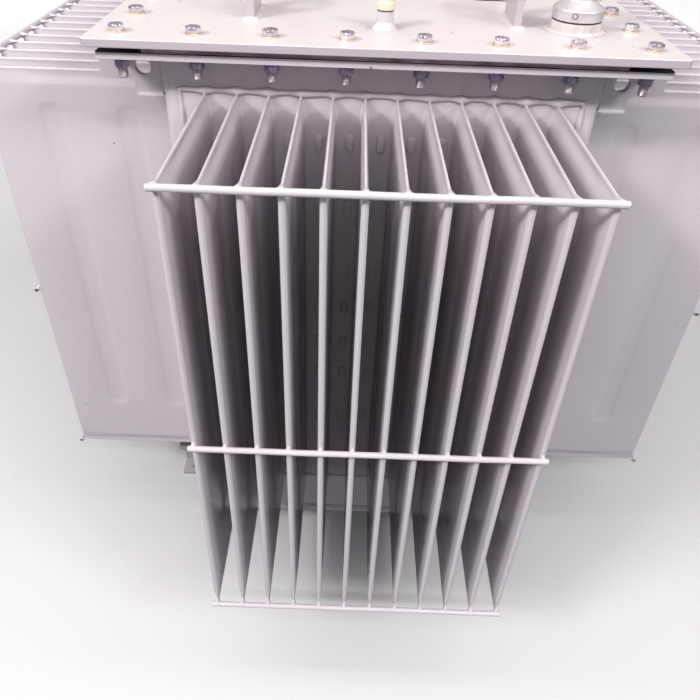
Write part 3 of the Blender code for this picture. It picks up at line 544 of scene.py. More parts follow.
@dataclass
class EffectShelf:
    """Shader node groups of the shared effects, each built once.

    Attributes:
        built: The groups made so far.
    """

    built: dict[Effect, bpy.types.NodeTree] = field(default_factory=dict)

    def place(self, graph: Graph, effect: Effect, values: dict[str, Any]) -> bpy.types.Node:
        """Put an effect into a material.

        Args:
            graph: The material's graph.
            effect: The effect to place.
            values: Its inputs.

        Returns:
            The group node.
        """
        if effect not in self.built:
            self.built[effect] = self.make(effect)
        return graph.add("ShaderNodeGroup", values, node_tree=self.built[effect])

    def make(self, effect: Effect) -> bpy.types.NodeTree:
        """Build the group of an effect.

        Args:
            effect: The effect to build.

        Returns:
            The node group.
        """
        tree = bpy.data.node_groups.new(effect.value, "ShaderNodeTree")
        graph = Graph(tree)
        makers = {
            Effect.ENAMEL: self.enamel,
            Effect.DUST: self.dust,
            Effect.STREAKS: self.streaks,
            Effect.TURNING: self.turning,
            Effect.BLOOM: self.bloom,
        }
        makers[effect](graph)
        return tree

    def sockets(self, graph: Graph, inputs: dict[str, float], outputs: Sequence[str]) -> tuple[Any, Any]:
        """Give a group its sockets: a vector, some numbers, and its outputs.

        Args:
            graph: The group's graph.
            inputs: Names and usual values of its numbers.
            outputs: Names of its outputs.

        Returns:
            The group's input and output nodes.
        """
        interface = graph.tree.interface
        interface.new_socket("Vector", in_out="INPUT", socket_type="NodeSocketVector")
        for name, value in inputs.items():
            socket = interface.new_socket(name, in_out="INPUT", socket_type="NodeSocketFloat")
            socket.default_value = value
        for name in outputs:
            interface.new_socket(name, in_out="OUTPUT", socket_type="NodeSocketFloat")
        return graph.add("NodeGroupInput"), graph.add("NodeGroupOutput")

    def enamel(self, graph: Graph) -> None:
        """Slow mottle, fine orange peel and rare specks of sprayed enamel.

        Args:
            graph: The group's graph.
        """
        numbers = {"Mottle Scale": 5.0, "Peel Scale": 260.0, "Speck Scale": 55.0, "Speck Share": 0.1}
        start, end = self.sockets(graph, numbers, ("Mottle", "Peel", "Specks"))
        vector = start.outputs["Vector"]
        slow = graph.noise(vector, start.outputs["Mottle Scale"], 2.0, 0.45)
        peel = graph.noise(vector, start.outputs["Peel Scale"], 2.0, 0.4)
        cells = graph.add("ShaderNodeTexVoronoi", {"Vector": vector, "Scale": start.outputs["Speck Scale"]})
        near = graph.sums("LESS_THAN", cells.outputs["Distance"], 0.11)
        pick = graph.add("ShaderNodeSeparateColor", {"Color": cells.outputs["Color"]})
        rare = graph.sums("LESS_THAN", pick.outputs["Red"], start.outputs["Speck Share"])
        specks = graph.sums("MULTIPLY", near, rare)
        for name, value in (("Mottle", slow), ("Peel", peel), ("Specks", specks)):
            graph.link(value, end, name)

    def dust(self, graph: Graph) -> None:
        """Dust on faces that look up, broken by noise.

        Args:
            graph: The group's graph.
        """
        start, end = self.sockets(graph, {"Scale": 9.0, "Amount": 0.5}, ("Dust",))
        normal = graph.add("ShaderNodeNewGeometry").outputs["Normal"]
        level = graph.add("ShaderNodeSeparateXYZ", {"Vector": normal}).outputs["Z"]
        facing = graph.spread(level, 0.35, 0.95, 0.0, 1.0)
        patches = graph.noise(start.outputs["Vector"], start.outputs["Scale"], 6.0, 0.65)
        patches = graph.spread(patches, 0.40, 0.68, 0.0, 1.0)
        dust = graph.sums("MULTIPLY", graph.sums("MULTIPLY", facing, patches), start.outputs["Amount"])
        graph.link(dust, end, "Dust")

    def streaks(self, graph: Graph) -> None:
        """Upright streaks that rain and wiping leave.

        Args:
            graph: The group's graph.
        """
        start, end = self.sockets(graph, {"Scale": 14.0}, ("Streaks",))
        vector = graph.stretched(start.outputs["Vector"], (1.0, 1.0, 0.06))
        lines = graph.noise(vector, start.outputs["Scale"], 5.0, 0.6)
        graph.link(graph.spread(lines, 0.42, 0.70, 0.0, 1.0), end, "Streaks")

    def turning(self, graph: Graph) -> None:
        """Fine lines at equal heights, as a lathe leaves them.

        Args:
            graph: The group's graph.
        """
        start, end = self.sockets(graph, {"Pitch": 900.0}, ("Lines",))
        vector = graph.stretched(start.outputs["Vector"], (0.02, 0.02, 1.0))
        lines = graph.noise(vector, start.outputs["Pitch"], 3.0, 0.7)
        graph.link(lines, end, "Lines")

    def bloom(self, graph: Graph) -> None:
        """Crystals and tinted clouds of a zinc coat.

        Args:
            graph: The group's graph.
        """
        scales = {"Crystal Scale": 420.0, "Cloud Scale": 90.0}
        start, end = self.sockets(graph, scales, ("Crystals", "Clouds"))
        vector = start.outputs["Vector"]
        cells = graph.add("ShaderNodeTexVoronoi", {"Vector": vector, "Scale": start.outputs["Crystal Scale"]})
        pick = graph.add("ShaderNodeSeparateColor", {"Color": cells.outputs["Color"]})
        clouds = graph.noise(vector, start.outputs["Cloud Scale"], 4.0, 0.6)
        graph.link(pick.outputs["Green"], end, "Crystals")
        graph.link(clouds, end, "Clouds")


SHELF = EffectShelf()


# Finishes


def new_material(name: str) -> tuple[bpy.types.Material, Graph, bpy.types.Node, Any]:
    """Start a material.

    Args:
        name: Name of the material.

    Returns:
        The material, its graph, its shader and the object coordinates.
    """
    material = bpy.data.materials.new(name)
    material.use_nodes = True
    graph = Graph(material.node_tree)
    shader = graph.add("ShaderNodeBsdfPrincipled")
    graph.add("ShaderNodeOutputMaterial", {"Surface": shader.outputs["BSDF"]})
    coordinates = graph.add("ShaderNodeTexCoord").outputs["Object"]
    return material, graph, shader, coordinates


def feed(
        graph: Graph, shader: bpy.types.Node, colour: Any, roughness: Any, height: Any,
        depth: float) -> None:
    """Link a colour, a roughness and a bump height to a shader.

    Args:
        graph: The material's graph.
        shader: Its shader.
        colour: Socket of the colour.
        roughness: Socket of the roughness.
        height: Socket of the height, from 0 to 1.
        depth: Real height of the bumps.
    """
    bump = graph.add("ShaderNodeBump", {"Height": height, "Strength": 1.0, "Distance": depth})
    graph.link(colour, shader, "Base Color")
    graph.link(roughness, shader, "Roughness")
    graph.link(bump.outputs["Normal"], shader, "Normal")


@dataclass(frozen=True)
class Finish:
    """What every finish has.

    Attributes:
        name: Name of the material.
        colour: Main colour.
        shade: Colour of its patches.
        roughness: Mean roughness.
    """

    name: str
    colour: Colour
    shade: Colour
    roughness: float


@dataclass(frozen=True)
class Enamel(Finish):
    """Sprayed enamel on steel, with mottle, orange peel, streaks, settled dust, specks and stains.

    Attributes:
        dust: Colour of the dust.
        dust_amount: Most of the dust's share.
        peel_depth: Height of the orange peel.
        speck_share: Share of the speck cells that hold a speck.
        stains: Places that are stained, each with its reach as a fourth number.
    """

    dust: Colour = (0.50, 0.46, 0.42)
    dust_amount: float = 0.25
    peel_depth: float = 0.00012
    speck_share: float = 0.03
    stains: tuple[tuple[float, float, float, float], ...] = ()

    def build(self) -> bpy.types.Material:
        """Make the material.

        Returns:
            The material.
        """
        material, graph, shader, vector = new_material(self.name)
        skin = SHELF.place(graph, Effect.ENAMEL, {"Vector": vector, "Speck Share": self.speck_share})
        dust = SHELF.place(graph, Effect.DUST, {"Vector": vector, "Amount": self.dust_amount})
        runs = SHELF.place(graph, Effect.STREAKS, {"Vector": vector})
        mottle = graph.spread(skin.outputs["Mottle"], 0.30, 0.72, 0.0, 0.42)
        colour = graph.blend(mottle, self.colour, self.shade)
        colour = graph.blend(graph.sums("MULTIPLY", runs.outputs["Streaks"], 0.12), colour, self.shade)
        colour = graph.blend(graph.spread(skin.outputs["Peel"], 0.3, 0.7, 0.0, 0.22), colour, self.shade)
        colour = graph.blend(dust.outputs["Dust"], colour, self.dust)
        for x, y, z, reach in self.stains:
            colour = self.stained(graph, vector, colour, (x, y, z), reach)
        colour = graph.blend(graph.sums("MULTIPLY", skin.outputs["Specks"], 0.75), colour, (0.16, 0.12, 0.11))
        rough = graph.spread(skin.outputs["Mottle"], 0.3, 0.7, self.roughness - 0.06, self.roughness + 0.08)
        rough = graph.sums("ADD", rough, graph.sums("MULTIPLY", dust.outputs["Dust"], 0.35))
        feed(graph, shader, colour, rough, skin.outputs["Peel"], self.peel_depth)
        return material

    def stained(self, graph: Graph, vector: Any, colour: Any, place: Point, reach: float) -> Any:
        """Darken the colour round a place: (1 - distance / reach) times a noise.

        Args:
            graph: The material's graph.
            vector: Object coordinates.
            colour: Colour so far.
            place: Middle of the stain.
            reach: How far the stain goes.

        Returns:
            The new colour.
        """
        away = graph.add("ShaderNodeVectorMath", {0: vector, 1: place}, operation="DISTANCE").outputs["Value"]
        near = graph.spread(away, reach * 0.45, reach, 1.0, 0.0)
        patches = graph.spread(graph.noise(vector, 38.0, 5.0, 0.7), 0.40, 0.62, 0.0, 0.45)
        return graph.blend(graph.sums("MULTIPLY", near, patches), colour, (0.40, 0.34, 0.36))


@dataclass(frozen=True)
class Zinc(Finish):
    """Zinc-plated steel with pale crystals and tinted clouds.

    Attributes:
        metallic: How metallic the coat is.
    """

    metallic: float

    def build(self) -> bpy.types.Material:
        """Make the material.

        Returns:
            The material.
        """
        material, graph, shader, vector = new_material(self.name)
        coat = SHELF.place(graph, Effect.BLOOM, {"Vector": vector})
        clouds = graph.spread(coat.outputs["Clouds"], 0.38, 0.66, 0.0, 1.0)
        colour = graph.blend(clouds, self.colour, self.shade)
        pale = graph.spread(coat.outputs["Crystals"], 0.0, 1.0, 0.0, 0.14)
        colour = graph.blend(pale, colour, (0.92, 0.90, 0.92))
        rough = graph.spread(coat.outputs["Crystals"], 0.0, 1.0, self.roughness - 0.08, self.roughness + 0.12)
        feed(graph, shader, colour, rough, coat.outputs["Clouds"], 0.00004)
        shader.inputs["Metallic"].default_value = self.metallic
        return material


@dataclass(frozen=True)
class TurnedMetal(Finish):
    """Bare metal off the lathe, with fine level lines and dull patches.

    Attributes:
        metallic: How metallic it is.
    """

    metallic: float

    def build(self) -> bpy.types.Material:
        """Make the material.

        Returns:
            The material.
        """
        material, graph, shader, vector = new_material(self.name)
        lines = SHELF.place(graph, Effect.TURNING, {"Vector": vector})
        values = {"Vector": vector, "Mottle Scale": 45.0, "Speck Share": 0.02}
        skin = SHELF.place(graph, Effect.ENAMEL, values)
        patches = graph.spread(skin.outputs["Mottle"], 0.40, 0.66, 0.0, 0.8)
        colour = graph.blend(patches, self.colour, self.shade)
        rough = graph.spread(lines.outputs["Lines"], 0.3, 0.7, self.roughness - 0.08, self.roughness + 0.14)
        feed(graph, shader, colour, rough, lines.outputs["Lines"], 0.00006)
        shader.inputs["Metallic"].default_value = self.metallic
        return material


@dataclass(frozen=True)
class Moulded(Finish):
    """Rubber, plastic or glazed ware: a mottled colour with a fine skin and a little dust.

    Attributes:
        grain_scale: Scale of the skin's grain.
        grain_depth: Height of the grain.
        coat: Weight of the clear glaze.
        dust_amount: Most of the dust's share.
    """

    grain_scale: float = 700.0
    grain_depth: float = 0.0001
    coat: float = 0.0
    dust_amount: float = 0.25

    def build(self) -> bpy.types.Material:
        """Make the material.

        Returns:
            The material.
        """
        material, graph, shader, vector = new_material(self.name)
        values = {"Vector": vector, "Mottle Scale": 28.0, "Peel Scale": self.grain_scale, "Speck Share": 0.04}
        skin = SHELF.place(graph, Effect.ENAMEL, values)
        dust = SHELF.place(graph, Effect.DUST, {"Vector": vector, "Scale": 30.0, "Amount": self.dust_amount})
        mottle = graph.spread(skin.outputs["Mottle"], 0.35, 0.68, 0.0, 1.0)
        colour = graph.blend(mottle, self.colour, self.shade)
        colour = graph.blend(dust.outputs["Dust"], colour, (0.45, 0.41, 0.37))
        rough = graph.spread(skin.outputs["Mottle"], 0.3, 0.7, self.roughness * 0.85, self.roughness * 1.2)
        feed(graph, shader, colour, rough, skin.outputs["Peel"], self.grain_depth)
        shader.inputs["Coat Weight"].default_value = self.coat
        shader.inputs["Coat Roughness"].default_value = 0.08
        return material


class Slot(Enum):
    """Finishes of the transformer, named as the record's material slots."""

    TANK = "tank_paint"
    COVER = "cover_paint"
    SKID = "skid_paint"
    GASKET = "gasket_rubber"
    SEAL = "seal_rubber"
    PLASTIC = "cream_plastic"
    FITTING = "fitting_metal"
    CORE = "core_steel"
    PORCELAIN = "porcelain"
    TERMINAL = "terminal_metal"
    BOLT = "bolt_zinc"


@dataclass
class Paintbox:
    """Builds each finish once and hands it out by its slot.

    Attributes:
        pocket_place: Foot of the thermometer pocket, which is stained round it.
        filler_place: Foot of the filler, which is stained round it.
        materials: The finished materials by name. Beside the slots there are the washers' tinted
        zinc; darker copies of the bolt zinc on the nuts and thread ends, painted shade under the
        flange; a darker grey for the cover's upright faces and the cover lugs; a near-black finish
        on the flange's top face, painted shade in the slit under the cover; and a near-black
        finish on a disc, painted shade inside the set screw's hole.
    """

    pocket_place: Point
    filler_place: Point
    materials: dict[str, bpy.types.Material] = field(default_factory=dict)

    def __post_init__(self) -> None:
        """Build every finish."""
        grey = Enamel(
            "tank_enamel", (0.62, 0.575, 0.605), (0.55, 0.51, 0.54), roughness=0.19, speck_share=0.008)
        cover = Enamel(
            "cover_enamel", (0.70, 0.650, 0.640), (0.62, 0.570, 0.560), dust=(0.56, 0.51, 0.48),
            dust_amount=0.30, roughness=0.34, speck_share=0.08,
            stains=((*self.pocket_place, 0.055), (*self.filler_place, 0.085)))
        skid = Enamel("skid_enamel", (0.43, 0.42, 0.43), (0.34, 0.33, 0.34), dust_amount=0.5, roughness=0.5)
        core = Enamel("core_varnish", (0.12, 0.12, 0.13), (0.07, 0.07, 0.08), roughness=0.6)
        finishes = {
            Slot.TANK.value: grey,
            Slot.COVER.value: cover,
            Slot.SKID.value: skid,
            Slot.CORE.value: core,
            Slot.GASKET.value: Moulded("gasket_cork_rubber", (0.42, 0.34, 0.38), (0.22, 0.13, 0.14), 0.7),
            Slot.SEAL.value: Moulded("black_seal", (0.02, 0.02, 0.022), (0.035, 0.03, 0.03), 0.6),
            Slot.PLASTIC.value: Moulded(
                "cream_cap", (0.80, 0.73, 0.56), (0.72, 0.63, 0.46), 0.42, dust_amount=0.1),
            Slot.FITTING.value: TurnedMetal(
                "turned_aluminium", (0.70, 0.65, 0.66), (0.56, 0.52, 0.54), 0.40, 0.45),
            Slot.PORCELAIN.value: Moulded(
                "brown_glaze", (0.17, 0.055, 0.028), (0.10, 0.032, 0.018), 0.22, 60.0, 0.0002, 0.8, 0.12),
            Slot.TERMINAL.value: TurnedMetal(
                "tinned_copper", (0.70, 0.66, 0.60), (0.52, 0.46, 0.40), 0.36, 1.0),
            Slot.BOLT.value: Zinc("bolt_zinc_coat", (0.82, 0.75, 0.79), (0.66, 0.60, 0.64), 0.27, 0.9),
            "washer": Zinc("washer_zinc_coat", (0.80, 0.72, 0.60), (0.72, 0.58, 0.34), 0.38, 0.6),
            # Nuts and thread ends wear darker copies of the bolt zinc: painted shade where they hang under
            # the flange.
            "nut": Zinc("nut_zinc_painted_shade", (0.34, 0.30, 0.41), (0.22, 0.19, 0.28), 0.30, 0.85),
            "thread": Zinc("thread_zinc_painted_shade", (0.48, 0.42, 0.42), (0.32, 0.27, 0.30), 0.40, 0.7),
            # A darker grey than the cover's paint, worn by the cover's upright faces and the cover lugs.
            "darker_grey": Enamel(
                "darker_grey_enamel", (0.52, 0.47, 0.49), (0.44, 0.39, 0.42), roughness=0.34),
            # Near-black finish for the flange's top face: painted shade in the slit under the cover.
            "joint": Moulded(
                "joint_painted_shade", (0.035, 0.028, 0.032), (0.02, 0.016, 0.02), 0.6, dust_amount=0.0),
            # Near-black finish for a disc: painted shade inside the set screw's hole.
            "bore": Moulded("hole_painted_shade", (0.05, 0.045, 0.05), (0.03, 0.03, 0.03), 0.6, dust_amount=0.0),
        }
        self.materials = {name: finish.build() for name, finish in finishes.items()}

    def of(self, name: Slot | str) -> bpy.types.Material:
        """The material of a slot or of an extra finish."""
        return self.materials[name.value if isinstance(name, Slot) else name]


# Making and dressing pieces


def in_scene(name: str, data: bpy.types.ID) -> bpy.types.Object:
    """A new object of a name in the scene.

    Args:
        name: Name of the object.
        data: What it shows.

    Returns:
        The object.
    """
    item = bpy.data.objects.new(name, data)
    bpy.context.scene.collection.objects.link(item)
    return item


@dataclass
class Workshop:
    """Turns shapes into finished pieces that ride on the frame.

    Attributes:
        paints: The finishes.
        smooth_angle: Edges sharper than this stay sharp.
        bevel_angle: Edges of a CAD node sharper than this are rounded.
        flat_angle: Faces of a CAD node that turn less than this are one face.
    """

    paints: Paintbox
    smooth_angle: float = math.radians(38.0)
    bevel_angle: float = math.radians(40.0)
    flat_angle: float = math.radians(1.0)

    def piece(
            self, name: str, shape: Shape, slot: Slot, finish: str = "",
            stands_for: Sequence[str] = ()) -> bpy.types.Object:
        """Make a finished piece from a shape.

        Args:
            name: Name of the piece.
            shape: Its surfaces, in place.
            slot: Its material slot.
            finish: Extra finish to wear, not the slot's.
            stands_for: CAD nodes that it replaces.

        Returns:
            The object.
        """
        mesh = bpy.data.meshes.new(name)
        faces = [corners for group in shape.faces for corners in group.tolist()]
        mesh.from_pydata(shape.points.tolist(), [], faces)
        work = bmesh.new()
        work.from_mesh(mesh)
        bmesh.ops.remove_doubles(work, verts=work.verts[:], dist=WELD_DISTANCE)
        bmesh.ops.recalc_face_normals(work, faces=work.faces[:])
        work.to_mesh(mesh)
        work.free()
        item = in_scene(name, mesh)
        self.finish(item, slot, finish)
        if stands_for:
            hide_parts(*stands_for)
        LOG.info("%s: %d faces", name, len(mesh.polygons))
        return item

    def finish(self, item: bpy.types.Object, slot: Slot, finish: str = "") -> None:
        """Shade a piece, give it its material and tie it to the frame.

        Args:
            item: The piece.
            slot: Its material slot.
            finish: Extra finish to wear, not the slot's.
        """
        item.data.shade_smooth()
        item.data.set_sharp_from_angle(angle=self.smooth_angle)
        item.data.materials.clear()
        item.data.materials.append(self.paints.of(finish or slot))
        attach(item, BODY)

    def refined(self, node: str, slot: Slot, bevel: float) -> bpy.types.Object:
        """Replace a CAD node by a merged copy whose sharp edges are rounded.

        Args:
            node: Its CAD node.
            slot: Its material slot.
            bevel: Width of the rounding.

        Returns:
            The new piece.
        """
        name = node + "_finished"
        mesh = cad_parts[node].data.copy()
        mesh.name = name
        work = bmesh.new()
        work.from_mesh(mesh)
        bmesh.ops.remove_doubles(work, verts=work.verts[:], dist=WELD_DISTANCE)
        bmesh.ops.dissolve_limit(
            work, angle_limit=self.flat_angle, verts=work.verts[:], edges=work.edges[:])
        work.to_mesh(mesh)
        work.free()
        item = in_scene(name, mesh)
        rounding = item.modifiers.new("rounded_edges", "BEVEL")
        rounding.width = bevel
        rounding.segments = 3
        rounding.limit_method = "ANGLE"
        rounding.angle_limit = self.bevel_angle
        rounding.harden_normals = True
        self.finish(item, slot)
        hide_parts(node)
        LOG.info("%s: edges rounded by %.1f mm", name, bevel * 1000)
        return item

    def dress(self, node: str, slot: Slot) -> None:
        """Give a CAD node that stays its finish.

        Args:
            node: Its CAD node.
            slot: Slot of the finish.
        """
        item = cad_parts[node]
        item.data.materials.clear()
        item.data.materials.append(self.paints.of(slot))


def box(node: str) -> tuple[Array, Array]:
    """Lowest and highest corners of a CAD node."""
    low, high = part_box(node)
    return np.array(low), np.array(high)


def turned_size(node: str) -> tuple[float, float]:
    """Radius and height of a CAD node that stands upright."""
    low, high = box(node)
    return (high[0] - low[0]) / 2, high[2] - low[2]


def loop(low: Sequence[float], high: Sequence[float], level: float) -> tuple[Point, ...]:
    """Corners of a level rectangle between two of its corners."""
    x0, y0, x1, y1 = *low[:2], *high[:2]
    return (x0, y0, level), (x1, y0, level), (x1, y1, level), (x0, y1, level)


def foot(node: str) -> Array:
    """Middle of a CAD node's underside."""
    low, high = box(node)
    return np.array([(low[0] + high[0]) / 2, (low[1] + high[1]) / 2, low[2]])


class Wall(Enum):
    """The tank's four sides, each with its quarter turns from the front."""

    FRONT = 0
    RIGHT = 1
    REAR = 2
    LEFT = 3

    @property
    def label(self) -> str:
        """The side's name."""
        return self.name.lower()

    def place(self, shape: Shape) -> Shape:
        """Lay a shape from the wall's own frame on to the tank's side.

        In the wall's frame X runs along the wall, -Y points away from the tank and Y = 0 is its face.

        Args:
            shape: The shape in the wall's frame.

        Returns:
            The shape in the frame of the whole object.
        """
        high = box("tank_shell")[1]
        angle = self.value * math.pi / 2
        cos, sin = round(math.cos(angle)), round(math.sin(angle))
        laid = shape.mapped(((cos, sin, 0.0), (-sin, cos, 0.0), UP))
        out = high[1] if self.value % 2 == 0 else high[0]
        return laid.moved((sin * out, -cos * out, 0.0))


@dataclass
class Assembly:
    """A sub-assembly, which makes its pieces in a workshop.

    Attributes:
        shop: The workshop.
    """

    shop: Workshop


@dataclass
class FinBank(Assembly):
    """One folded wall: hollow fins with pinched ends, pressed channels, dimples, rim weld and rods.

    Attributes:
        wall: The side of the tank.
        pitch: Distance between fins.
        depth: How far the fins stand out.
        thickness: Thickness of a fin.
        sheet: Thickness of the sheet.
        pinch: Thickness of the pinched ends.
        pinch_height: Height of the pinched band.
        shoulder: Height of the slope from the pinched band to the full fin.
        rim: Flat rim beside the first and last fins.
        root: Radius where a fin leaves the wall.
        channels: Places of the pressed channels, as depths from the wall.
        channel_half: Half the width of a channel.
        channel_depth: How deep it is pressed.
        channel_wall: Width of the slope at its rim.
        channel_top: From the fin's top to the channel.
        channel_bottom: From the fin's bottom to the channel.
        channel_steps: Columns from its rim inwards, in widths of its slope.
        edge_bead: How far the welded edge stands proud of the pinched band.
        edge_reach: How far from the ends it begins to stand proud.
        edge_slope: Height of the slope where it does.
        crown: Height over which the welded edge is round.
        nose_reach: How far back from the nose the ends are pinched less.
        nose_top: Heights of the pinched band and its slope on top of the nose.
        nose_bottom: The same at the nose's lower end.
        end_rows: Rows of the sheet, from each end of a fin.
        top_rows: Further rows, from its top down.
        bottom_rows: Further rows, from its bottom up.
        dimple_radius: Radius of a dimple's round ends.
        dimple_half: Half the length of its straight sides.
        dimple_shift: How far the dimples sit to the right of a valley's middle.
        dimple_rises: Height of each ring of a dimple, from the wall out.
        dimple_shares: Size of each ring as a share of the whole.
        dimple_drops: Places of the dimples, from the top of the fins down.
        rim_radius: Radius of the bead round the sheet.
        lump: Half the length of the bead's lump at each fin.
        fillets: Rod, reach back, rise, half-width and half-height of each fillet.
    """

    wall: Wall
    pitch: float = 0.045
    depth: float = 0.300
    thickness: float = 0.0085
    sheet: float = 0.0015
    pinch: float = 0.0026
    pinch_height: float = 0.0110
    shoulder: float = 0.0120
    rim: float = 0.0365
    root: float = 0.0032
    channels: tuple[float, ...] = (0.079, 0.200)
    channel_half: float = 0.021
    channel_depth: float = 0.0018
    channel_wall: float = 0.0065
    channel_top: float = 0.050
    channel_bottom: float = 0.115
    channel_steps: Sequence[float] = (0.0, 0.5, 1.0, 2.6)
    edge_bead: float = 0.0006
    edge_reach: float = 0.0052
    edge_slope: float = 0.0030
    crown: float = 0.0018
    nose_reach: float = 0.040
    nose_top: tuple[float, float] = (0.002, 0.010)
    nose_bottom: tuple[float, float] = (0.005, 0.027)
    end_rows: Sequence[float] = (
        0.0, 0.0018, 0.0048, 0.0075, 0.0101, 0.0119, 0.0150, 0.0190, 0.0221, 0.0239)
    top_rows: Sequence[float] = (0.0006, 0.0030, 0.0270)
    bottom_rows: Sequence[float] = (0.0008, 0.0280, 0.0340, 0.0700)
    dimple_radius: float = 0.0066
    dimple_half: float = 0.0062
    dimple_shift: float = 0.0030
    dimple_rises: Sequence[float] = (-0.0004, 0.0030, 0.0048, 0.0056, 0.0057)
    dimple_shares: Sequence[float] = (1.0, 0.96, 0.84, 0.56, 0.0)
    dimple_drops: Sequence[float] = (0.068, 0.172, 0.289, 0.362, 0.437, 0.509, 0.620)
    rim_radius: float = 0.0040
    lump: float = 0.0085
    fillets: Sequence[tuple[str, float, float, float, float]] = (
        ("upper", 0.019, 0.0010, 0.0062, 0.0042), ("upper", 0.010, -0.006, 0.0050, 0.0040),
        ("middle", 0.010, 0.0, 0.0066, 0.0046), ("middle", 0.006, 0.008, 0.0052, 0.0040),
        ("lower", 0.014, 0.0, 0.0060, 0.0040), ("lower", 0.005, 0.014, 0.0048, 0.0040))
    centres: Array = field(init=False)
    half_width: float = field(init=False)
    bottom: float = field(init=False)
    top: float = field(init=False)

    def __post_init__(self) -> None:
        """Take the wall's reach from its CAD node."""
        low, high = box(self.wall.label + "_fin_wall")
        width = (high - low)[self.wall.value % 2]
        count = round((width - 2 * self.rim) / self.pitch) + 1
        self.centres = (np.arange(count) - (count - 1) / 2) * self.pitch
        self.half_width = width / 2
        self.bottom, self.top = low[2], high[2]

    def half_thickness(self, depth: Array, height: Array) -> Array:
        """Half the thickness of a fin at a depth and a height.

        It is the pinched half plus a straight swell away from the ends, less the pressed channels. The
        pinched bands narrow towards the nose, and the welded edge is a little proud and round. A
        channel has a flat bottom, and its side rises as a smooth step at a set distance from its
        straight middle line.

        Args:
            depth: Depths from the wall.
            height: Heights.

        Returns:
            Half-thicknesses, heights by depths.
        """
        depth, height = depth[None, :], height[:, None]
        near = eased((depth - self.depth + self.nose_reach) / (self.nose_reach - self.thickness))
        swell = np.ones(1)
        ends = ((self.top - height, self.nose_top), (height - self.bottom, self.nose_bottom))
        for from_end, (band, slope) in ends:
            start = self.pinch_height + (band - self.pinch_height) * near
            reach = self.shoulder + (slope - self.shoulder) * near
            swell = np.minimum(swell, np.clip((from_end - start) / reach, 0.0, 1.0))
        from_end = np.minimum(self.top - height, height - self.bottom)
        half = (self.pinch + (self.thickness - self.pinch) * swell) / 2 + 0 * depth
        share = np.clip(from_end / self.crown, 0.12, 1.0)
        half = half + self.edge_bead * eased((self.edge_reach - from_end) / self.edge_slope)
        half = half * np.sqrt(np.clip(1 - (1 - share) ** 2, 0.0, 1.0))
        low = self.bottom + self.channel_bottom + self.channel_half
        high = self.top - self.channel_top - self.channel_half
        beyond = np.maximum(np.maximum(low - height, height - high), 0.0)
        for centre in self.channels:
            away = np.hypot(depth - centre, beyond)
            half = half - self.channel_depth * eased((self.channel_half - away) / self.channel_wall)
        return half

    def levels(self) -> Array:
        """Heights of the sheet's rows, closer where its form changes.

        Returns:
            The heights, upwards.
        """
        upper = np.array([*self.end_rows, *self.top_rows])
        lower = np.array([*self.end_rows, *self.bottom_rows])
        low_channel = self.bottom + self.channel_bottom + np.linspace(-0.002, 0.024, 8)
        high_channel = self.top - self.channel_top - np.linspace(-0.002, 0.024, 8)
        middle = np.linspace(low_channel[-1], high_channel[-1], 7)[1:-1]
        rows = [self.bottom + lower, low_channel, middle, high_channel, self.top - upper]
        return np.unique(np.round(np.concatenate(rows), 6))

    def outline(self, height: Array) -> tuple[Array, Array]:
        """The sheet's outline at each height.

        It is a root arc, a face at plus or minus the half-thickness, and half an ellipse round the
        nose, mirrored to the other face and repeated at each fin.

        Args:
            height: Heights of the rows.

        Returns:
            X and Y of the outlines, rows by columns, from one edge of the sheet to the other.
        """
        nose = self.thickness / 2
        steps = self.channel_half - self.channel_wall * np.array(self.channel_steps)
        spread = [c + np.concatenate([-steps, steps]) for c in self.channels]
        depth = np.unique(np.concatenate([[self.root + 0.001], *spread, [self.depth - nose]]))
        half = self.half_thickness(depth, height)
        arc = np.linspace(math.pi / 2, 0.0, 4)[None, :]
        bend = np.linspace(math.pi, 1.47 * math.pi, 5)[None, 1:]
        root_x = -half[:, :1] - self.root + self.root * np.cos(arc)
        root_y = -self.root + self.root * np.sin(arc) + 0 * half[:, :1]
        nose_x = half[:, -1:] * np.cos(bend)
        nose_y = -(self.depth - nose) + nose * np.sin(bend) + 0 * half[:, :1]
        left_x = np.concatenate([root_x, -half, nose_x], axis=1)
        left_y = np.concatenate([root_y, -depth[None, :] + 0 * half, nose_y], axis=1)
        fin_x = np.concatenate([left_x, -left_x[:, ::-1]], axis=1)
        fin_y = np.concatenate([left_y, left_y[:, ::-1]], axis=1)
        rows, count = len(height), len(self.centres)
        all_x = (self.centres[None, :, None] + fin_x[:, None, :]).reshape(rows, -1)
        edge = np.full((rows, 1), self.half_width)
        all_x = np.concatenate([-edge, all_x, edge], axis=1)
        return all_x, np.concatenate([0 * edge, np.tile(fin_y, (1, count)), 0 * edge], axis=1)

    def sheet_shape(self) -> Shape:
        """The folded sheet as one closed surface.

        Its outlines stand over each other as rows. The back is a flat grid a sheet's thickness behind,
        and strips close the edges.

        Returns:
            The surface in the wall's frame.
        """
        height = self.levels()
        all_x, all_y = self.outline(height)
        all_z = height[:, None] + 0 * all_x
        outer = lattice(np.stack([all_x, all_y, all_z], axis=-1))
        rows, columns = all_x.shape
        count = len(self.centres)
        per_fin = (columns - 2) // count
        first = 1 + per_fin * np.arange(count)
        roots = np.sort(np.concatenate([[0], first, first + per_fin - 1, [columns - 1]]))
        back_points = np.stack([all_x[:, roots], self.sheet + 0 * all_x[:, roots], all_z[:, roots]], axis=-1)
        back = lattice(back_points)
        index = np.arange(rows * columns).reshape(rows, columns)
        back_index = rows * columns + np.arange(rows * len(roots)).reshape(rows, len(roots))
        strips = []
        pair = np.arange(per_fin // 2)[None, :]
        for column in (0, -1):
            strips.append(strip(index[:, column], back_index[:, column]))
        for row in (0, -1):
            strips.append(strip(index[row, roots], back_index[row]))
            left = index[row, first[:, None] + pair]
            right = index[row, (first + per_fin - 1)[:, None] - pair]
            strips.append(strip(left, right))
        shape = joined([outer, back])
        shape.faces.extend(strips)
        return shape

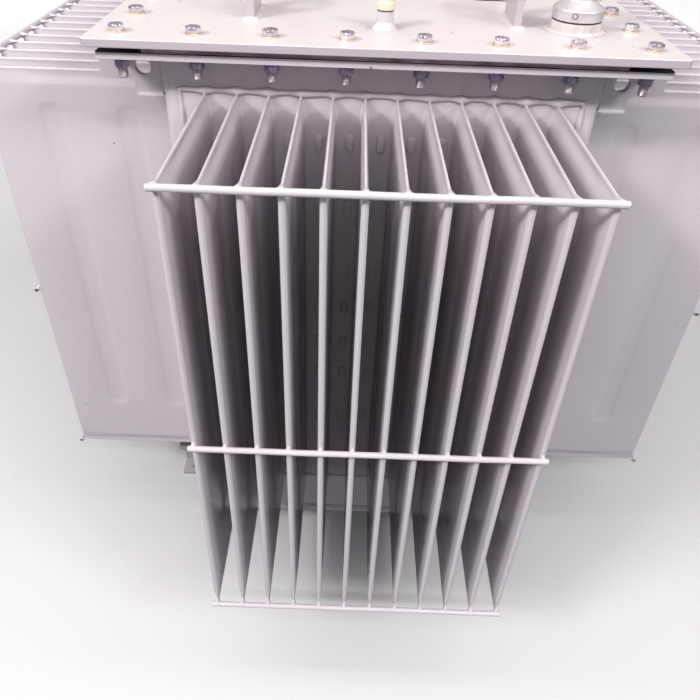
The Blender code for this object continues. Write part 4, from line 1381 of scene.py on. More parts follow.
    def dimples(self) -> Shape:
        """Long round-ended bumps in every valley, as rings of one outline that rise and shrink.

        Returns:
            The dimples in the wall's frame.
        """
        angle = around(14)
        rise = np.array(self.dimple_rises)[:, None]
        size = np.array(self.dimple_shares)[:, None]
        side = np.minimum(size * 2, 1.0) * self.dimple_half
        x = size * self.dimple_radius * np.cos(angle)
        z = size * self.dimple_radius * np.sin(angle) + side * np.sign(np.sin(angle + 0.01))
        dome = lattice(np.stack([x, -rise + 0 * x, z], axis=-1), wrap_columns=True)
        valleys = (self.centres[:-1] + self.centres[1:]) / 2 + self.dimple_shift
        grid_x, grid_z = np.meshgrid(valleys, self.top - np.array(self.dimple_drops))
        places = np.stack([grid_x.ravel(), 0 * grid_x.ravel(), grid_z.ravel()], axis=1)
        return copies(dome, places)

    def rim_weld(self) -> Shape:
        """The lumpy bead round the folded sheet: it swells at each fin and sags between them.

        Returns:
            The bead in the wall's frame.
        """
        x, low, high = self.half_width, self.bottom, self.top
        path = along(((-x, 0.0, low), (-x, 0.0, high), (x, 0.0, high), (x, 0.0, low)), 0.0036, True)
        count = len(path)
        slow, quick = uneven(count, count // 7, 5, True), uneven(count, count // 3, 6, True)
        on_top = path[:, 2] > high - 0.001
        inside = np.abs(path[:, 0]) < self.centres[-1] + self.pitch / 2
        near = np.abs((path[:, 0] - self.centres[0] + self.pitch / 2) % self.pitch - self.pitch / 2)
        lump = np.exp(-((near / self.lump) ** 2)) * inside * (on_top | (path[:, 2] < low + 0.001))
        radii = self.rim_radius * (1 + 0.16 * slow + 0.12 * quick) * (1 + 0.70 * lump)
        path[:, 2] += on_top * (0.0022 - 0.0006 * lump + 0.0007 * uneven(count, count // 5, 7, True))
        return tube(path, radii, 10, (0.0, -1.0, 0.0), 1.0, True)

    def rods(self) -> dict[str, Shape]:
        """The bank's three tie rods, round-ended, by row, in the frame of the whole object.

        The radius steps in a little at the sawn ends, which are closed flat.

        Returns:
            A shape for each row.
        """
        shapes = {}
        axis = self.wall.value % 2
        for number, row in enumerate(("upper", "middle", "lower")):
            low, high = box(f"{self.wall.label}_{row}_tie_rod")
            middle = (low + high) / 2
            length = (high - low)[axis]
            radius = (high[2] - low[2]) / 2
            sawn = np.array([0.0, 0.0004, 0.0012])
            place = np.sort(np.concatenate([np.linspace(0.0, length, 90), sawn, length - sawn]))
            radii = radius * np.interp(np.minimum(place, length - place), sawn, [0.8, 0.93, 1.0])
            radii[[0, -1]] = 0.0
            path = np.repeat(middle[None], len(place), axis=0)
            path[:, axis] = low[axis] + place
            path[:, 2] += 0.0004 * uneven(len(place), 9, 20 + number + 3 * self.wall.value)
            shapes[row] = tube(path, radii, 16, UP)
        return shapes

    def rod_welds(self) -> Shape:
        """Fillets between each fin and its rods.

        A flattened cone runs from the rod's middle back along the fin's edge, or up its nose; its
        half-width falls to the fin's own as (1 - s)^1.3.

        Returns:
            The fillets in the wall's frame.
        """
        share = np.linspace(0.0, 1.0, 8)
        shapes = []
        for row, back, rise, wide, tall in self.fillets:
            low, high = box(f"{self.wall.label}_{row}_tie_rod")
            height = (low[2] + high[2]) / 2
            out = self.depth + 0.0003 + (high[2] - low[2]) / 2
            path = np.stack([0 * share, -out + 0.0005 + back * share, rise * share], axis=1)
            width = wide * (1 - share) ** 1.3 + 0.0014
            width[0] *= 0.6
            width[-1] = 0.0
            path, width = np.concatenate([path[:1], path]), np.concatenate([[0.0], width])
            cone = tube(path, width, 10, UP, tall / wide)
            places = np.stack([self.centres, 0 * self.centres, height + 0 * self.centres], axis=1)
            shapes.append(copies(cone, places))
        return joined(shapes)

    def build(self) -> None:
        """Make the bank's pieces."""
        label = self.wall.label
        place = self.wall.place
        sheet = place(self.sheet_shape())
        self.shop.piece(label + "_fin_sheet", sheet, Slot.TANK, stands_for=(label + "_fin_wall",))
        self.shop.piece(label + "_fin_dimples", place(self.dimples()), Slot.TANK)
        self.shop.piece(label + "_fin_rim_weld", place(self.rim_weld()), Slot.TANK)
        self.shop.piece(label + "_rod_welds", place(self.rod_welds()), Slot.TANK)
        for row, shape in self.rods().items():
            node = f"{label}_{row}_tie_rod"
            self.shop.piece(node + "_round", shape, Slot.TANK, stands_for=(node,))


@dataclass
class TankBody(Assembly):
    """Tank shell, floor, flange, gasket, cover and skids.

    Attributes:
        seam: Radius of the seam welds.
        gasket_out: How far the squeezed gasket reaches beyond the CAD gasket.
        gasket_width: Width of the gasket.
        gasket_spans: Steps round the gasket.
        gasket_wander: How far its outer edge wanders in and out.
        corner_cut: How much of the gasket is missing at a corner.
        corner_reach: How far from the corner that begins.
        corner_slope: Length over which the edge runs in.
    """

    seam: float = 0.0035
    gasket_out: float = 0.0082
    gasket_width: float = 0.042
    gasket_spans: int = 480
    gasket_wander: float = 0.0010
    corner_cut: float = 0.034
    corner_reach: float = 0.060
    corner_slope: float = 0.014

    def gasket(self) -> Shape:
        """The gasket as a ring that is squeezed out unevenly.

        Four lines run round the joint: outer and inner, at the lower and the upper face. The outer
        line's inset is its mean plus a slow noise, and grows towards the corners.

        Returns:
            The closed ring.
        """
        low, high = box("cover_gasket")
        x, y = high[0] + self.gasket_out, high[1] + self.gasket_out
        path = along(loop((-x, -y), (x, y), 0.0), (2 * x + 2 * y) * 2 / self.gasket_spans, True)
        count = len(path)
        from_corner = np.hypot(x - np.abs(path[:, 0]), y - np.abs(path[:, 1]))
        near = eased((self.corner_reach - from_corner) / self.corner_slope)
        inset = self.gasket_wander * (1 + uneven(count, 60, 31, True)) + self.corner_cut * near
        lines = []
        inner = self.gasket_width
        for cut, level in ((inset, low[2]), (inset, high[2]), (inner, high[2]), (inner, low[2])):
            line = path.copy()
            line[:, 0] = np.sign(path[:, 0]) * np.minimum(np.abs(path[:, 0]), x - cut)
            line[:, 1] = np.sign(path[:, 1]) * np.minimum(np.abs(path[:, 1]), y - cut)
            line[:, 2] = level
            lines.append(line)
        return lattice(np.stack(lines), wrap_rows=True, wrap_columns=True)

    def seams(self) -> Shape:
        """Weld beads round the tank, under its flange and on its floor plate.

        Returns:
            All the beads.
        """
        low, high = box("tank_shell")
        x, y = high[0] + 0.0005, high[1] + 0.0005
        shapes = []
        for number, level in enumerate((low[2] + 0.001, high[2] - 0.001)):
            shapes.append(weld_bead(loop((-x, -y), (x, y), level), self.seam, UP, 40 + number, True))
        return joined(shapes)

    def build(self) -> None:
        """Make the tank's pieces."""
        self.shop.refined("tank_shell", Slot.TANK, 0.0006)
        self.shop.refined("tank_floor", Slot.TANK, 0.0012)
        flange = self.shop.refined("top_flange", Slot.TANK, 0.0012)
        # The flange's top face wears the near-black joint finish: painted shade in the slit under the cover.
        flange.data.materials.append(self.shop.paints.of("joint"))
        top = box("top_flange")[1][2]
        for face in flange.data.polygons:
            face.material_index = int(face.normal.z > 0.9 and face.center.z > top - 0.0001)
        cover = self.shop.refined("cover_plate", Slot.COVER, 0.0015)
        # The cover's upright faces wear a darker grey than its top.
        cover.data.materials.append(self.shop.paints.of("darker_grey"))
        for face in cover.data.polygons:
            face.material_index = int(abs(face.normal.z) < 0.3)
        self.shop.refined("front_skid", Slot.SKID, 0.0015)
        self.shop.refined("rear_skid", Slot.SKID, 0.0015)
        self.shop.piece("squeezed_gasket", self.gasket(), Slot.GASKET, stands_for=("cover_gasket",))
        self.shop.piece("tank_seam_welds", self.seams(), Slot.TANK)
        self.shop.dress("core_and_windings", Slot.CORE)


@dataclass
class CoverBolts(Assembly):
    """Bolts round the cover with their washers, nuts and thread ends.

    Attributes:
        inset: From the cover's edge to the bolts.
        across: Bolts along a short end.
        lengthwise: Bolts along a long side.
        head_radius: Radius over the head's corners.
        head_height: Height of the head.
        washer_radius: Radius of the flat washer.
        washer_height: Its thickness.
        nut_height: Height of the nut.
        shank_radius: Radius of the thread.
        thread_end: How far the thread stands below the nut.
        collar: Height of the washer face under the head.
        spring_radius: Radius of the spring washer over the nut.
        spring_height: Its thickness.
    """

    inset: float = 0.038
    across: int = 8
    lengthwise: int = 14
    head_radius: float = 0.0105
    head_height: float = 0.0078
    washer_radius: float = 0.0117
    washer_height: float = 0.0021
    nut_height: float = 0.0105
    shank_radius: float = 0.0065
    thread_end: float = 0.0132
    collar: float = 0.0007
    spring_radius: float = 0.0094
    spring_height: float = 0.0030

    def places(self) -> Array:
        """Middle of every bolt, as X and Y.

        Returns:
            One row of two for each bolt.
        """
        low, high = box("cover_plate")
        x = np.linspace(low[0] + self.inset, high[0] - self.inset, self.across)
        y = np.linspace(low[1] + self.inset, high[1] - self.inset, self.lengthwise)[1:-1]
        step = y[1] - y[0]
        ends = [np.stack([x, 0 * x + side], axis=1) for side in (y[0] - step, y[-1] + step)]
        sides = [np.stack([0 * y + side, y], axis=1) for side in (x[0], x[-1])]
        return np.concatenate([*ends, *sides])

    def row(self, shape: Shape, level: float, angles: Array | None = None) -> Shape:
        """A shape repeated at every bolt, with its foot at one level."""
        places = self.places()
        return copies(shape, np.column_stack([places, np.full(len(places), level)]), angles)

    def build(self) -> None:
        """Make the heads, washers, nuts and thread ends, each kind as one piece."""
        count = len(self.places())
        cover_top = box("cover_plate")[1][2]
        flange_bottom = box("top_flange")[0][2]
        turn = np.random.default_rng(11).uniform(0.0, math.pi / 3, count)
        tilt = np.random.default_rng(12).uniform(0.0, 2 * math.pi, count)
        washer = disc(self.washer_radius, self.washer_height, 0.0005, 28, 2)
        level = cover_top + self.washer_height
        self.shop.piece("cover_bolt_washers", joined([
            self.row(washer, cover_top),
            self.row(washer, flange_bottom - self.washer_height),
        ]), Slot.BOLT, "washer")
        head = hex_profile(self.head_radius, self.head_height - self.collar, 0.0008)
        collar = disc(self.head_radius * 0.80, self.collar + 0.0004, 0.0001, 18, 2)
        self.shop.piece("cover_bolt_heads", joined([
            self.row(lathe(head, 36, 6), level + self.collar, turn),
            self.row(collar, level),
        ]), Slot.BOLT)
        nut = hex_profile(self.head_radius, self.nut_height, 0.0011, True)
        nut_level = flange_bottom - self.washer_height - self.spring_height - self.nut_height
        end_level = nut_level - self.thread_end
        rod = threaded_rod(self.shank_radius, self.thread_end + 0.002, 0.00175)
        spring = disc(self.spring_radius, self.spring_height, 0.0004, 24, 2)
        # The nuts wear a darker copy of the bolt zinc, painted shade under the flange.
        self.shop.piece("cover_bolt_nuts", joined([
            self.row(lathe(nut, 36, 6), nut_level, turn + 0.3),
            self.row(spring, nut_level + self.nut_height),
        ]), Slot.BOLT, "nut")
        # The thread ends wear a darker copy of the bolt zinc, painted shade under the flange.
        self.shop.piece("cover_bolt_ends", self.row(rod, end_level, tilt), Slot.BOLT, "thread")


@dataclass
class LiftingLugs(Assembly):
    """Lugs on the tank's corners and on the cover, with the beads that weld them on.

    Attributes:
        rounding: Width of the rounded edges.
        bead: Radius of the beads.
        root_width: Width of a tank lug's root.
        rings: Distance and share of the radius of each bead round a cover lug.
    """

    rounding: float = 0.0010
    bead: float = 0.0044
    root_width: float = 0.0380
    rings: Sequence[tuple[float, float]] = ((0.0008, 1.0), (0.0042, 0.72))

    def foot_bead(self, node: str, seed: int) -> Shape:
        """Beads round a cover lug's foot: one close to it and a lower one outside.

        Args:
            node: Its CAD node.
            seed: Seed of its unevenness.

        Returns:
            Both beads.
        """
        low, high = box(node)
        lines = []
        for number, (spread, share) in enumerate(self.rings):
            corners = loop(low[:2] - spread, high[:2] + spread, low[2] - 0.0002)
            lines.append(weld_bead(corners, self.bead * share, UP, seed + 20 * number, True))
        return joined(lines)

    def root_beads(self, node: str, seed: int) -> Shape:
        """Beads where a lug meets the tank, and along the lower edge of its root.

        Args:
            node: Its CAD node.
            seed: Seed of its unevenness.

        Returns:
            The three beads.
        """
        low, high = box(node)
        side = np.sign(low[0])
        wall = box("tank_shell")[1][0] * side
        lines = []
        front, back = (low[1], high[1]) if low[1] < 0 else (high[1], low[1])
        ends = ((wall - 0.0006 * side, back, low[2] + 0.001), (wall - 0.0006 * side, back, high[2] - 0.001))
        lines.append(weld_bead(ends, self.bead, (side, 0.0, 0.0), seed))
        edge = box("tank_shell")[1][1] * np.sign(front)
        groove = wall - 0.0040 * side, edge - 0.0042 * np.sign(front)
        corner = np.array([side, np.sign(front), 0.0]) / math.sqrt(2)
        upright = ((*groove, low[2] + 0.001), (*groove, high[2] - 0.001))
        lines.append(weld_bead(upright, self.bead * 1.42, tuple(corner), seed + 7))
        run = ((wall, front, low[2] + 0.0014), (wall + side * self.root_width, front, low[2] + 0.0014))
        lines.append(weld_bead(run, self.bead * 0.62, (0.0, np.sign(front), 0.0), seed + 5))
        return joined(lines)

    def build(self) -> None:
        """Make the lugs and their beads."""
        corners = ("front_left", "front_right", "rear_left", "rear_right")
        for corner in corners:
            self.shop.refined(corner + "_tank_lug", Slot.TANK, self.rounding)
            lug = self.shop.refined(corner + "_cover_lug", Slot.COVER, self.rounding)
            # The cover lugs wear the same darker grey.
            lug.data.materials[0] = self.shop.paints.of("darker_grey")
        feet = [self.foot_bead(corner + "_cover_lug", 60 + number) for number, corner in enumerate(corners)]
        roots = [self.root_beads(corner + "_tank_lug", 70 + number) for number, corner in enumerate(corners)]
        self.shop.piece("cover_lug_welds", joined(feet), Slot.COVER)
        self.shop.piece("tank_lug_welds", joined(roots), Slot.TANK)


@dataclass
class ThermometerPocket(Assembly):
    """Stub pipe in the cover with its weld and its loose cap.

    Attributes:
        bead: Reach of the weld round the pipe.
        lip: Height of the dark ring under the cap.
        skirt: Height of the cap's wider skirt.
        step: How far the cap steps in over it.
    """

    bead: float = 0.0075
    lip: float = 0.0012
    skirt: float = 0.009
    step: float = 0.0012

    def build(self) -> None:
        """Make the pocket's pieces."""
        radius, height = turned_size("thermometer_pocket")
        place = foot("thermometer_pocket")
        rims = ((radius, 0.0), (radius, height - 0.003), (radius - 0.0006, height))
        pipe = turned(rims, 0.0006, 48).moved(place)
        self.shop.piece("pocket_pipe", pipe, Slot.TANK, stands_for=("thermometer_pocket",))
        weld = skirt_weld(radius, self.bead, self.bead * 1.2, 81).moved(place)
        self.shop.piece("pocket_weld", weld, Slot.COVER)
        wide, tall = turned_size("pocket_cap")
        cap = turned((
            (wide, 0.0), (wide, self.skirt), (wide - self.step, self.skirt + self.step),
            (wide - self.step, tall - 0.003), (wide - 0.004, tall)), 0.0012, 48)
        cap_place = foot("pocket_cap")
        self.shop.piece("pocket_top_cap", cap.moved(cap_place), Slot.PLASTIC, stands_for=("pocket_cap",))
        ring = disc(radius + 0.0004, self.lip, 0.0003, 48)
        self.shop.piece("pocket_ring", ring.moved((*place[:2], cap_place[2] - self.lip)), Slot.SEAL)


@dataclass
class OilFiller(Assembly):
    """Filler on the cover: collar, seal, clamping ring with its set screw, neck and cap.

    Attributes:
        bead: Reach of the weld round the collar.
        ring_height: Height of the clamping ring.
        neck_radius: Radius of the neck.
        neck_lip: How far the lip stands out at the neck's top.
        screw_radius: Radius of the set screw's hole.
        screw_height: Height of the screw's middle on the ring.
        screw_turn: How far round the ring the screw sits from the front, to the left.
        cap_ribs: Grip ribs round the cap.
    """

    bead: float = 0.0070
    ring_height: float = 0.0156
    neck_radius: float = 0.0200
    neck_lip: float = 0.0012
    screw_radius: float = 0.0038
    screw_height: float = 0.0082
    screw_turn: float = math.radians(20.5)
    cap_ribs: int = 36

    def build(self) -> None:
        """Make the filler's pieces."""
        radius, height = turned_size("filler_collar")
        place = foot("filler_collar")
        collar = disc(radius, height, 0.0006, 72).moved(place)
        self.shop.piece("filler_pad", collar, Slot.COVER, stands_for=("filler_collar",))
        weld = skirt_weld(radius, self.bead, self.bead * 0.42, 91).moved(place)
        self.shop.piece("filler_weld", weld, Slot.COVER)
        seal = disc(*turned_size("filler_seal"), 0.0004, 64).moved(foot("filler_seal"))
        self.shop.piece("filler_ring_seal", seal, Slot.SEAL, stands_for=("filler_seal",))
        self.build_neck()
        self.build_cap()

    def build_neck(self) -> None:
        """Make the clamping ring, its neck and the set screw in its face."""
        radius, top = turned_size("filler_neck")
        place = foot("filler_neck")
        ring, inner = self.ring_height, self.neck_radius
        lip = inner + self.neck_lip
        neck = turned((
            (radius, 0.0), (radius, ring - 0.0024), (radius - 0.0012, ring - 0.0006),
            (radius - 0.0030, ring), (inner + 0.0015, ring + 0.0072), (inner, ring + 0.0098),
            (inner, top - 0.004), (lip, top - 0.003), (lip, top)), 0.0012, 72).moved(place)
        self.shop.piece("filler_clamp_and_neck", neck, Slot.FITTING, stands_for=("filler_neck",))
        rim = self.screw_radius
        sin, cos = math.sin(self.screw_turn), math.cos(self.screw_turn)
        out = np.array([-sin, -cos, 0.0])
        facing = ((cos, -sin, 0.0), UP, tuple(out))
        spot = place + out * (radius - 0.0010) + np.array([0.0, 0.0, self.screw_height])
        # The hole is a dark disc just proud of the ring: painted shade inside the set screw's hole.
        hole = disc(rim, 0.0012, 0.0001, 32, 2).mapped(facing).moved(spot)
        self.shop.piece("filler_screw_hole", hole, Slot.FITTING, "bore")
        head = turned((
            (rim * 0.76, 0.0), (rim * 0.74, 0.0014), (rim * 0.34, 0.0017),
            (rim * 0.30, 0.0013)), 0.0002, 24, 2)
        self.shop.piece("filler_screw_head", head.mapped(facing).moved(spot), Slot.FITTING)

    def build_cap(self) -> None:
        """Make the ribbed cap."""
        radius, height = turned_size("filler_cap")
        cap = grip_cap(radius, height, 0.003, 0.0012, self.cap_ribs, 0.02).moved(foot("filler_cap"))
        self.shop.piece("filler_grip_cap", cap, Slot.FITTING, stands_for=("filler_cap",))


def shed_profile(bottom: float, pitch: float, count: int, core: float, shed: float) -> Array:
    """Outline of porcelain sheds: one shed's outline raised by a pitch for each that follows.

    A shed slopes down and out to a round lip, and its underside returns to the core.

    Args:
        bottom: Height where the lowest shed starts.
        pitch: Distance between sheds.
        count: Number of sheds.
        core: Radius of the core.
        shed: Radius of the sheds.

    Returns:
        Points of (radius, height), upwards.
    """
    reach = shed - core
    shares = np.array([
        (0.00, 0.04), (0.10, 0.16), (0.55, 0.22), (0.93, 0.16), (1.00, 0.24), (0.97, 0.34),
        (0.80, 0.44), (0.45, 0.62), (0.15, 0.78), (0.02, 0.92)])
    radius = core + reach * shares[:, 0]
    levels = bottom + pitch * (shares[:, 1][None, :] + np.arange(count)[:, None])
    return np.stack([np.tile(radius, count), levels.ravel()], axis=1)


@dataclass
class Bushing(Assembly):
    """A porcelain bushing with its clamps.

    Attributes:
        node: Its CAD node.
        core: Radius of the porcelain core.
        shed: Radius of the sheds.
        pitch: Distance between sheds.
        count: Number of sheds.
        base: Radius of the foot.
        base_height: Height of the foot.
        shoulder: Height from the foot to the lowest shed.
        top: Radius at the top.
        top_height: Height of the top above the sheds.
        claws: Number of clamps round the foot.
        nut_radius: Radius of a clamp's nut over its corners.
        stud_radius: Radius of a clamp's stud.
    """

    node: str
    core: float
    shed: float
    pitch: float
    count: int
    base: float
    base_height: float
    shoulder: float
    top: float
    top_height: float
    claws: int
    nut_radius: float = 0.0092
    stud_radius: float = 0.005

    def porcelain(self) -> Shape:
        """The glazed body, turned from its outline.

        Returns:
            The body, with its foot's middle at the origin.
        """
        sheds = shed_profile(self.base_height + self.shoulder, self.pitch, self.count, self.core, self.shed)
        upper = self.base_height + self.shoulder + self.count * self.pitch
        height = upper + self.top_height
        base = softened((
            (0.0, 0.0), (self.base, 0.0), (self.base, self.base_height),
            (self.core + 0.006, self.base_height + 0.004),
            (self.core, self.base_height + self.shoulder * 0.7)), 0.004)
        crown = softened((
            (self.core, upper), (self.top + 0.002, upper + 0.003), (self.top, height), (0.0, height)), 0.003)
        return lathe(np.concatenate([base[:-1], sheds, crown]), 56)

    def clamps(self) -> Shape:
        """Claws over the foot, each a rounded block with a stud, a washer and a nut.

        Returns:
            All the clamps.
        """
        share = np.linspace(0.0, 1.0, 9)
        path = np.stack([
            self.base - 0.010 + 0.026 * share, 0 * share,
            self.base_height + 0.004 - 0.012 * eased((share - 0.45) * 2.4)], axis=1)
        width = np.where((share == 0.0) | (share == 1.0), 0.0, 0.0085)
        claw = tube(path, width, 12, UP, 0.55)
        spot = np.array([self.base + 0.006, 0.0, self.base_height + 0.006])
        nut = lathe(hex_profile(self.nut_radius, 0.008, 0.001, True), 24, 6).moved(spot)
        stud = threaded_rod(self.stud_radius, 0.014, 0.0015, 12).moved(spot + (0.0, 0.0, 0.004))
        angle = (np.arange(self.claws) + 0.5) * 2 * math.pi / self.claws
        return copies(joined([claw, nut, stud]), np.zeros((self.claws, 3)), angle)

    def build(self) -> None:
        """Make the bushing's pieces."""
        place = foot(self.node)
        body = self.porcelain().moved(place)
        self.shop.piece(self.node + "_body", body, Slot.PORCELAIN, stands_for=(self.node,))
        self.shop.piece(self.node + "_clamps", self.clamps().moved(place), Slot.FITTING)
        ring = disc(self.base + 0.0015, 0.003, 0.001, 56)
        self.shop.piece(self.node + "_gasket", ring.moved(place), Slot.SEAL)


HIGH_VOLTAGE: dict[str, Any] = dict(
    core=0.030, shed=0.052, pitch=0.036, count=5, base=0.060, base_height=0.016, shoulder=0.024,
    top=0.022, top_height=0.018, claws=4)
LOW_VOLTAGE: dict[str, Any] = dict(
    core=0.040, shed=0.052, pitch=0.028, count=2, base=0.058, base_height=0.014, shoulder=0.014,
    top=0.030, top_height=0.012, claws=3)


@dataclass
class StudTerminal(Assembly):
    """Threaded stud on a high-voltage bushing with its cap, washer and nuts.

    Attributes:
        node: Its CAD node.
        radius: Radius of the stud.
        cap_height: Height of the cap under it.
        washer_radius: Radius of the two washers.
        nut_radius: Radius of the two nuts over their corners.
    """

    node: str
    radius: float = 0.008
    cap_height: float = 0.014
    washer_radius: float = 0.0150
    nut_radius: float = 0.0139

    def build(self) -> None:
        """Make the terminal."""
        wide, height = turned_size(self.node)
        rims = ((wide, 0.0), (wide, self.cap_height - 0.003), (wide - 0.003, self.cap_height))
        stud = threaded_rod(self.radius, height - self.cap_height + 0.002, 0.002, 24)
        washer = disc(self.washer_radius, 0.0025, 0.0005, 40)
        nut = lathe(hex_profile(self.nut_radius, 0.0105, 0.0012, True), 36, 6)
        parts = [turned(rims, 0.0015, 48)]
        for part, rise in ((stud, -0.002), (washer, 0.0001), (nut, 0.0028), (washer, 0.0200), (nut, 0.0227)):
            parts.append(part.moved((0, 0, self.cap_height + rise)))
        terminal = joined(parts).moved(foot(self.node))
        self.shop.piece(self.node + "_stud", terminal, Slot.TERMINAL, stands_for=(self.node,))


@dataclass
class TapSwitch(Assembly):
    """Tap switch between the bushings: a turned housing, a grip and base screws.

    Attributes:
        node: Its CAD node.
        base: Radius of the base.
        body: Radius of the housing.
        base_height: Height of the base.
        body_top: Height of the housing's top.
        grip_size: Half-sizes of the grip.
        squareness: Power that squares the grip's outline off.
        screw_ring: Radius of the ring on which the base screws lie.
        screw_radius: Radius of a screw's head over its corners.
        screw_height: Height of the head.
    """

    node: str = "tap_switch"
    base: float = 0.045
    body: float = 0.030
    base_height: float = 0.012
    body_top: float = 0.057
    grip_size: Point = (0.022, 0.006, 0.010)
    squareness: float = 0.35
    screw_ring: float = 0.038
    screw_radius: float = 0.0058
    screw_height: float = 0.0045

    def squared(self, value: Array) -> Array:
        """Sign of a sine or cosine times its size raised to a power."""
        return np.sign(value) * np.abs(value) ** self.squareness

    def grip(self) -> Shape:
        """The grip as a rounded bar: squared sines and cosines on three half-sizes.

        Returns:
            The grip at its height over the foot.
        """
        angle = around(40)[None, :]
        rise = np.linspace(-math.pi / 2, math.pi / 2, 17)[:, None]
        level = self.squared(np.cos(rise))
        x = self.grip_size[0] * level * self.squared(np.cos(angle))
        y = self.grip_size[1] * level * self.squared(np.sin(angle))
        z = self.grip_size[2] * self.squared(np.sin(rise)) + 0 * angle
        middle = turned_size(self.node)[1] - self.grip_size[2]
        return lattice(np.stack([x, y, z], axis=-1), wrap_columns=True).moved((0, 0, middle))

    def build(self) -> None:
        """Make the tap switch."""
        place = foot(self.node)
        body = turned((
            (self.base, 0.0), (self.base, self.base_height), (self.body + 0.002, self.base_height),
            (self.body, self.base_height + 0.002), (self.body, self.body_top - 0.006),
            (self.body - 0.006, self.body_top)), 0.0014, 64)
        housing = joined([body, self.grip()]).moved(place)
        self.shop.piece("tap_switch_housing", housing, Slot.FITTING, stands_for=(self.node,))
        angle = around(4) + math.pi / 4
        x, y = self.screw_ring * np.cos(angle), self.screw_ring * np.sin(angle)
        spots = np.stack([x, y, 0 * angle + self.base_height], axis=1)
        screw = lathe(hex_profile(self.screw_radius, self.screw_height, 0.0007), 24, 6)
        self.shop.piece("tap_switch_screws", copies(screw, spots + place, angle), Slot.BOLT)


@dataclass
class DrainValve(Assembly):
    """Drain valve low on the rear end: pad, body with a hexagon, and a ribbed cap.

    Attributes:
        pad: Thickness of the pad.
        pipe: Radius of the body behind the pad.
        hexagon: Radius of the body's hexagon over its corners.
        cap_ribs: Grip ribs round the cap.
    """

    pad: float = 0.010
    pipe: float = 0.0205
    hexagon: float = 0.0252
    cap_ribs: int = 30

    def build(self) -> None:
        """Make the valve."""
        low, high = box("drain_valve")
        facing = ((1.0, 0.0, 0.0), (0.0, 0.0, -1.0), (0.0, 1.0, 0.0))
        middle = (low + high) / 2
        start = np.array([middle[0], low[1], middle[2]])
        length = high[1] - low[1]
        wide = (high[0] - low[0]) / 2
        rims = ((wide, 0.0), (wide, self.pad), (self.pipe, self.pad + 0.002), (self.pipe, length))
        body = turned(rims, 0.0012, 56)
        hexagon = lathe(hex_profile(self.hexagon, 0.016, 0.0018, True), 48, 6)
        shape = joined([body, hexagon.moved((0, 0, self.pad + 0.012))]).mapped(facing).moved(start)
        self.shop.piece("drain_valve_body", shape, Slot.TANK, stands_for=("drain_valve",))
        cap_low, cap_high = box("drain_cap")
        radius, deep = (cap_high[0] - cap_low[0]) / 2, cap_high[1] - cap_low[1]
        spot = np.array([middle[0], cap_low[1], middle[2]])
        cap = grip_cap(radius, deep, 0.002, 0.001, self.cap_ribs, 0.015).mapped(facing).moved(spot)
        self.shop.piece("drain_grip_cap", cap, Slot.FITTING, stands_for=("drain_cap",))
        bead = ring_bead(wide + 0.0015, 0.004, 95).mapped(facing).moved(start)
        self.shop.piece("drain_weld", bead, Slot.TANK)


# Studio


@dataclass(frozen=True)
class Lamp:
    """A soft lamp with a flat face.

    Attributes:
        name: Name of the lamp.
        place: Where it hangs.
        aim: Where it points.
        size: Width and height of its face.
        power: Its power.
        tone: Its colour.
    """

    name: str
    place: Point
    aim: Point
    size: tuple[float, float]
    power: float
    tone: Colour = (1.0, 0.98, 1.0)

    def hang(self) -> None:
        """Put the lamp into the scene."""
        data = bpy.data.lights.new(self.name, "AREA")
        data.shape = "RECTANGLE"
        data.size, data.size_y = self.size
        data.energy = self.power
        data.color = self.tone
        item = in_scene(self.name, data)
        item.location = self.place
        beam = Vector(self.aim) - Vector(self.place)
        item.rotation_euler = beam.to_track_quat("-Z", "Y").to_euler()


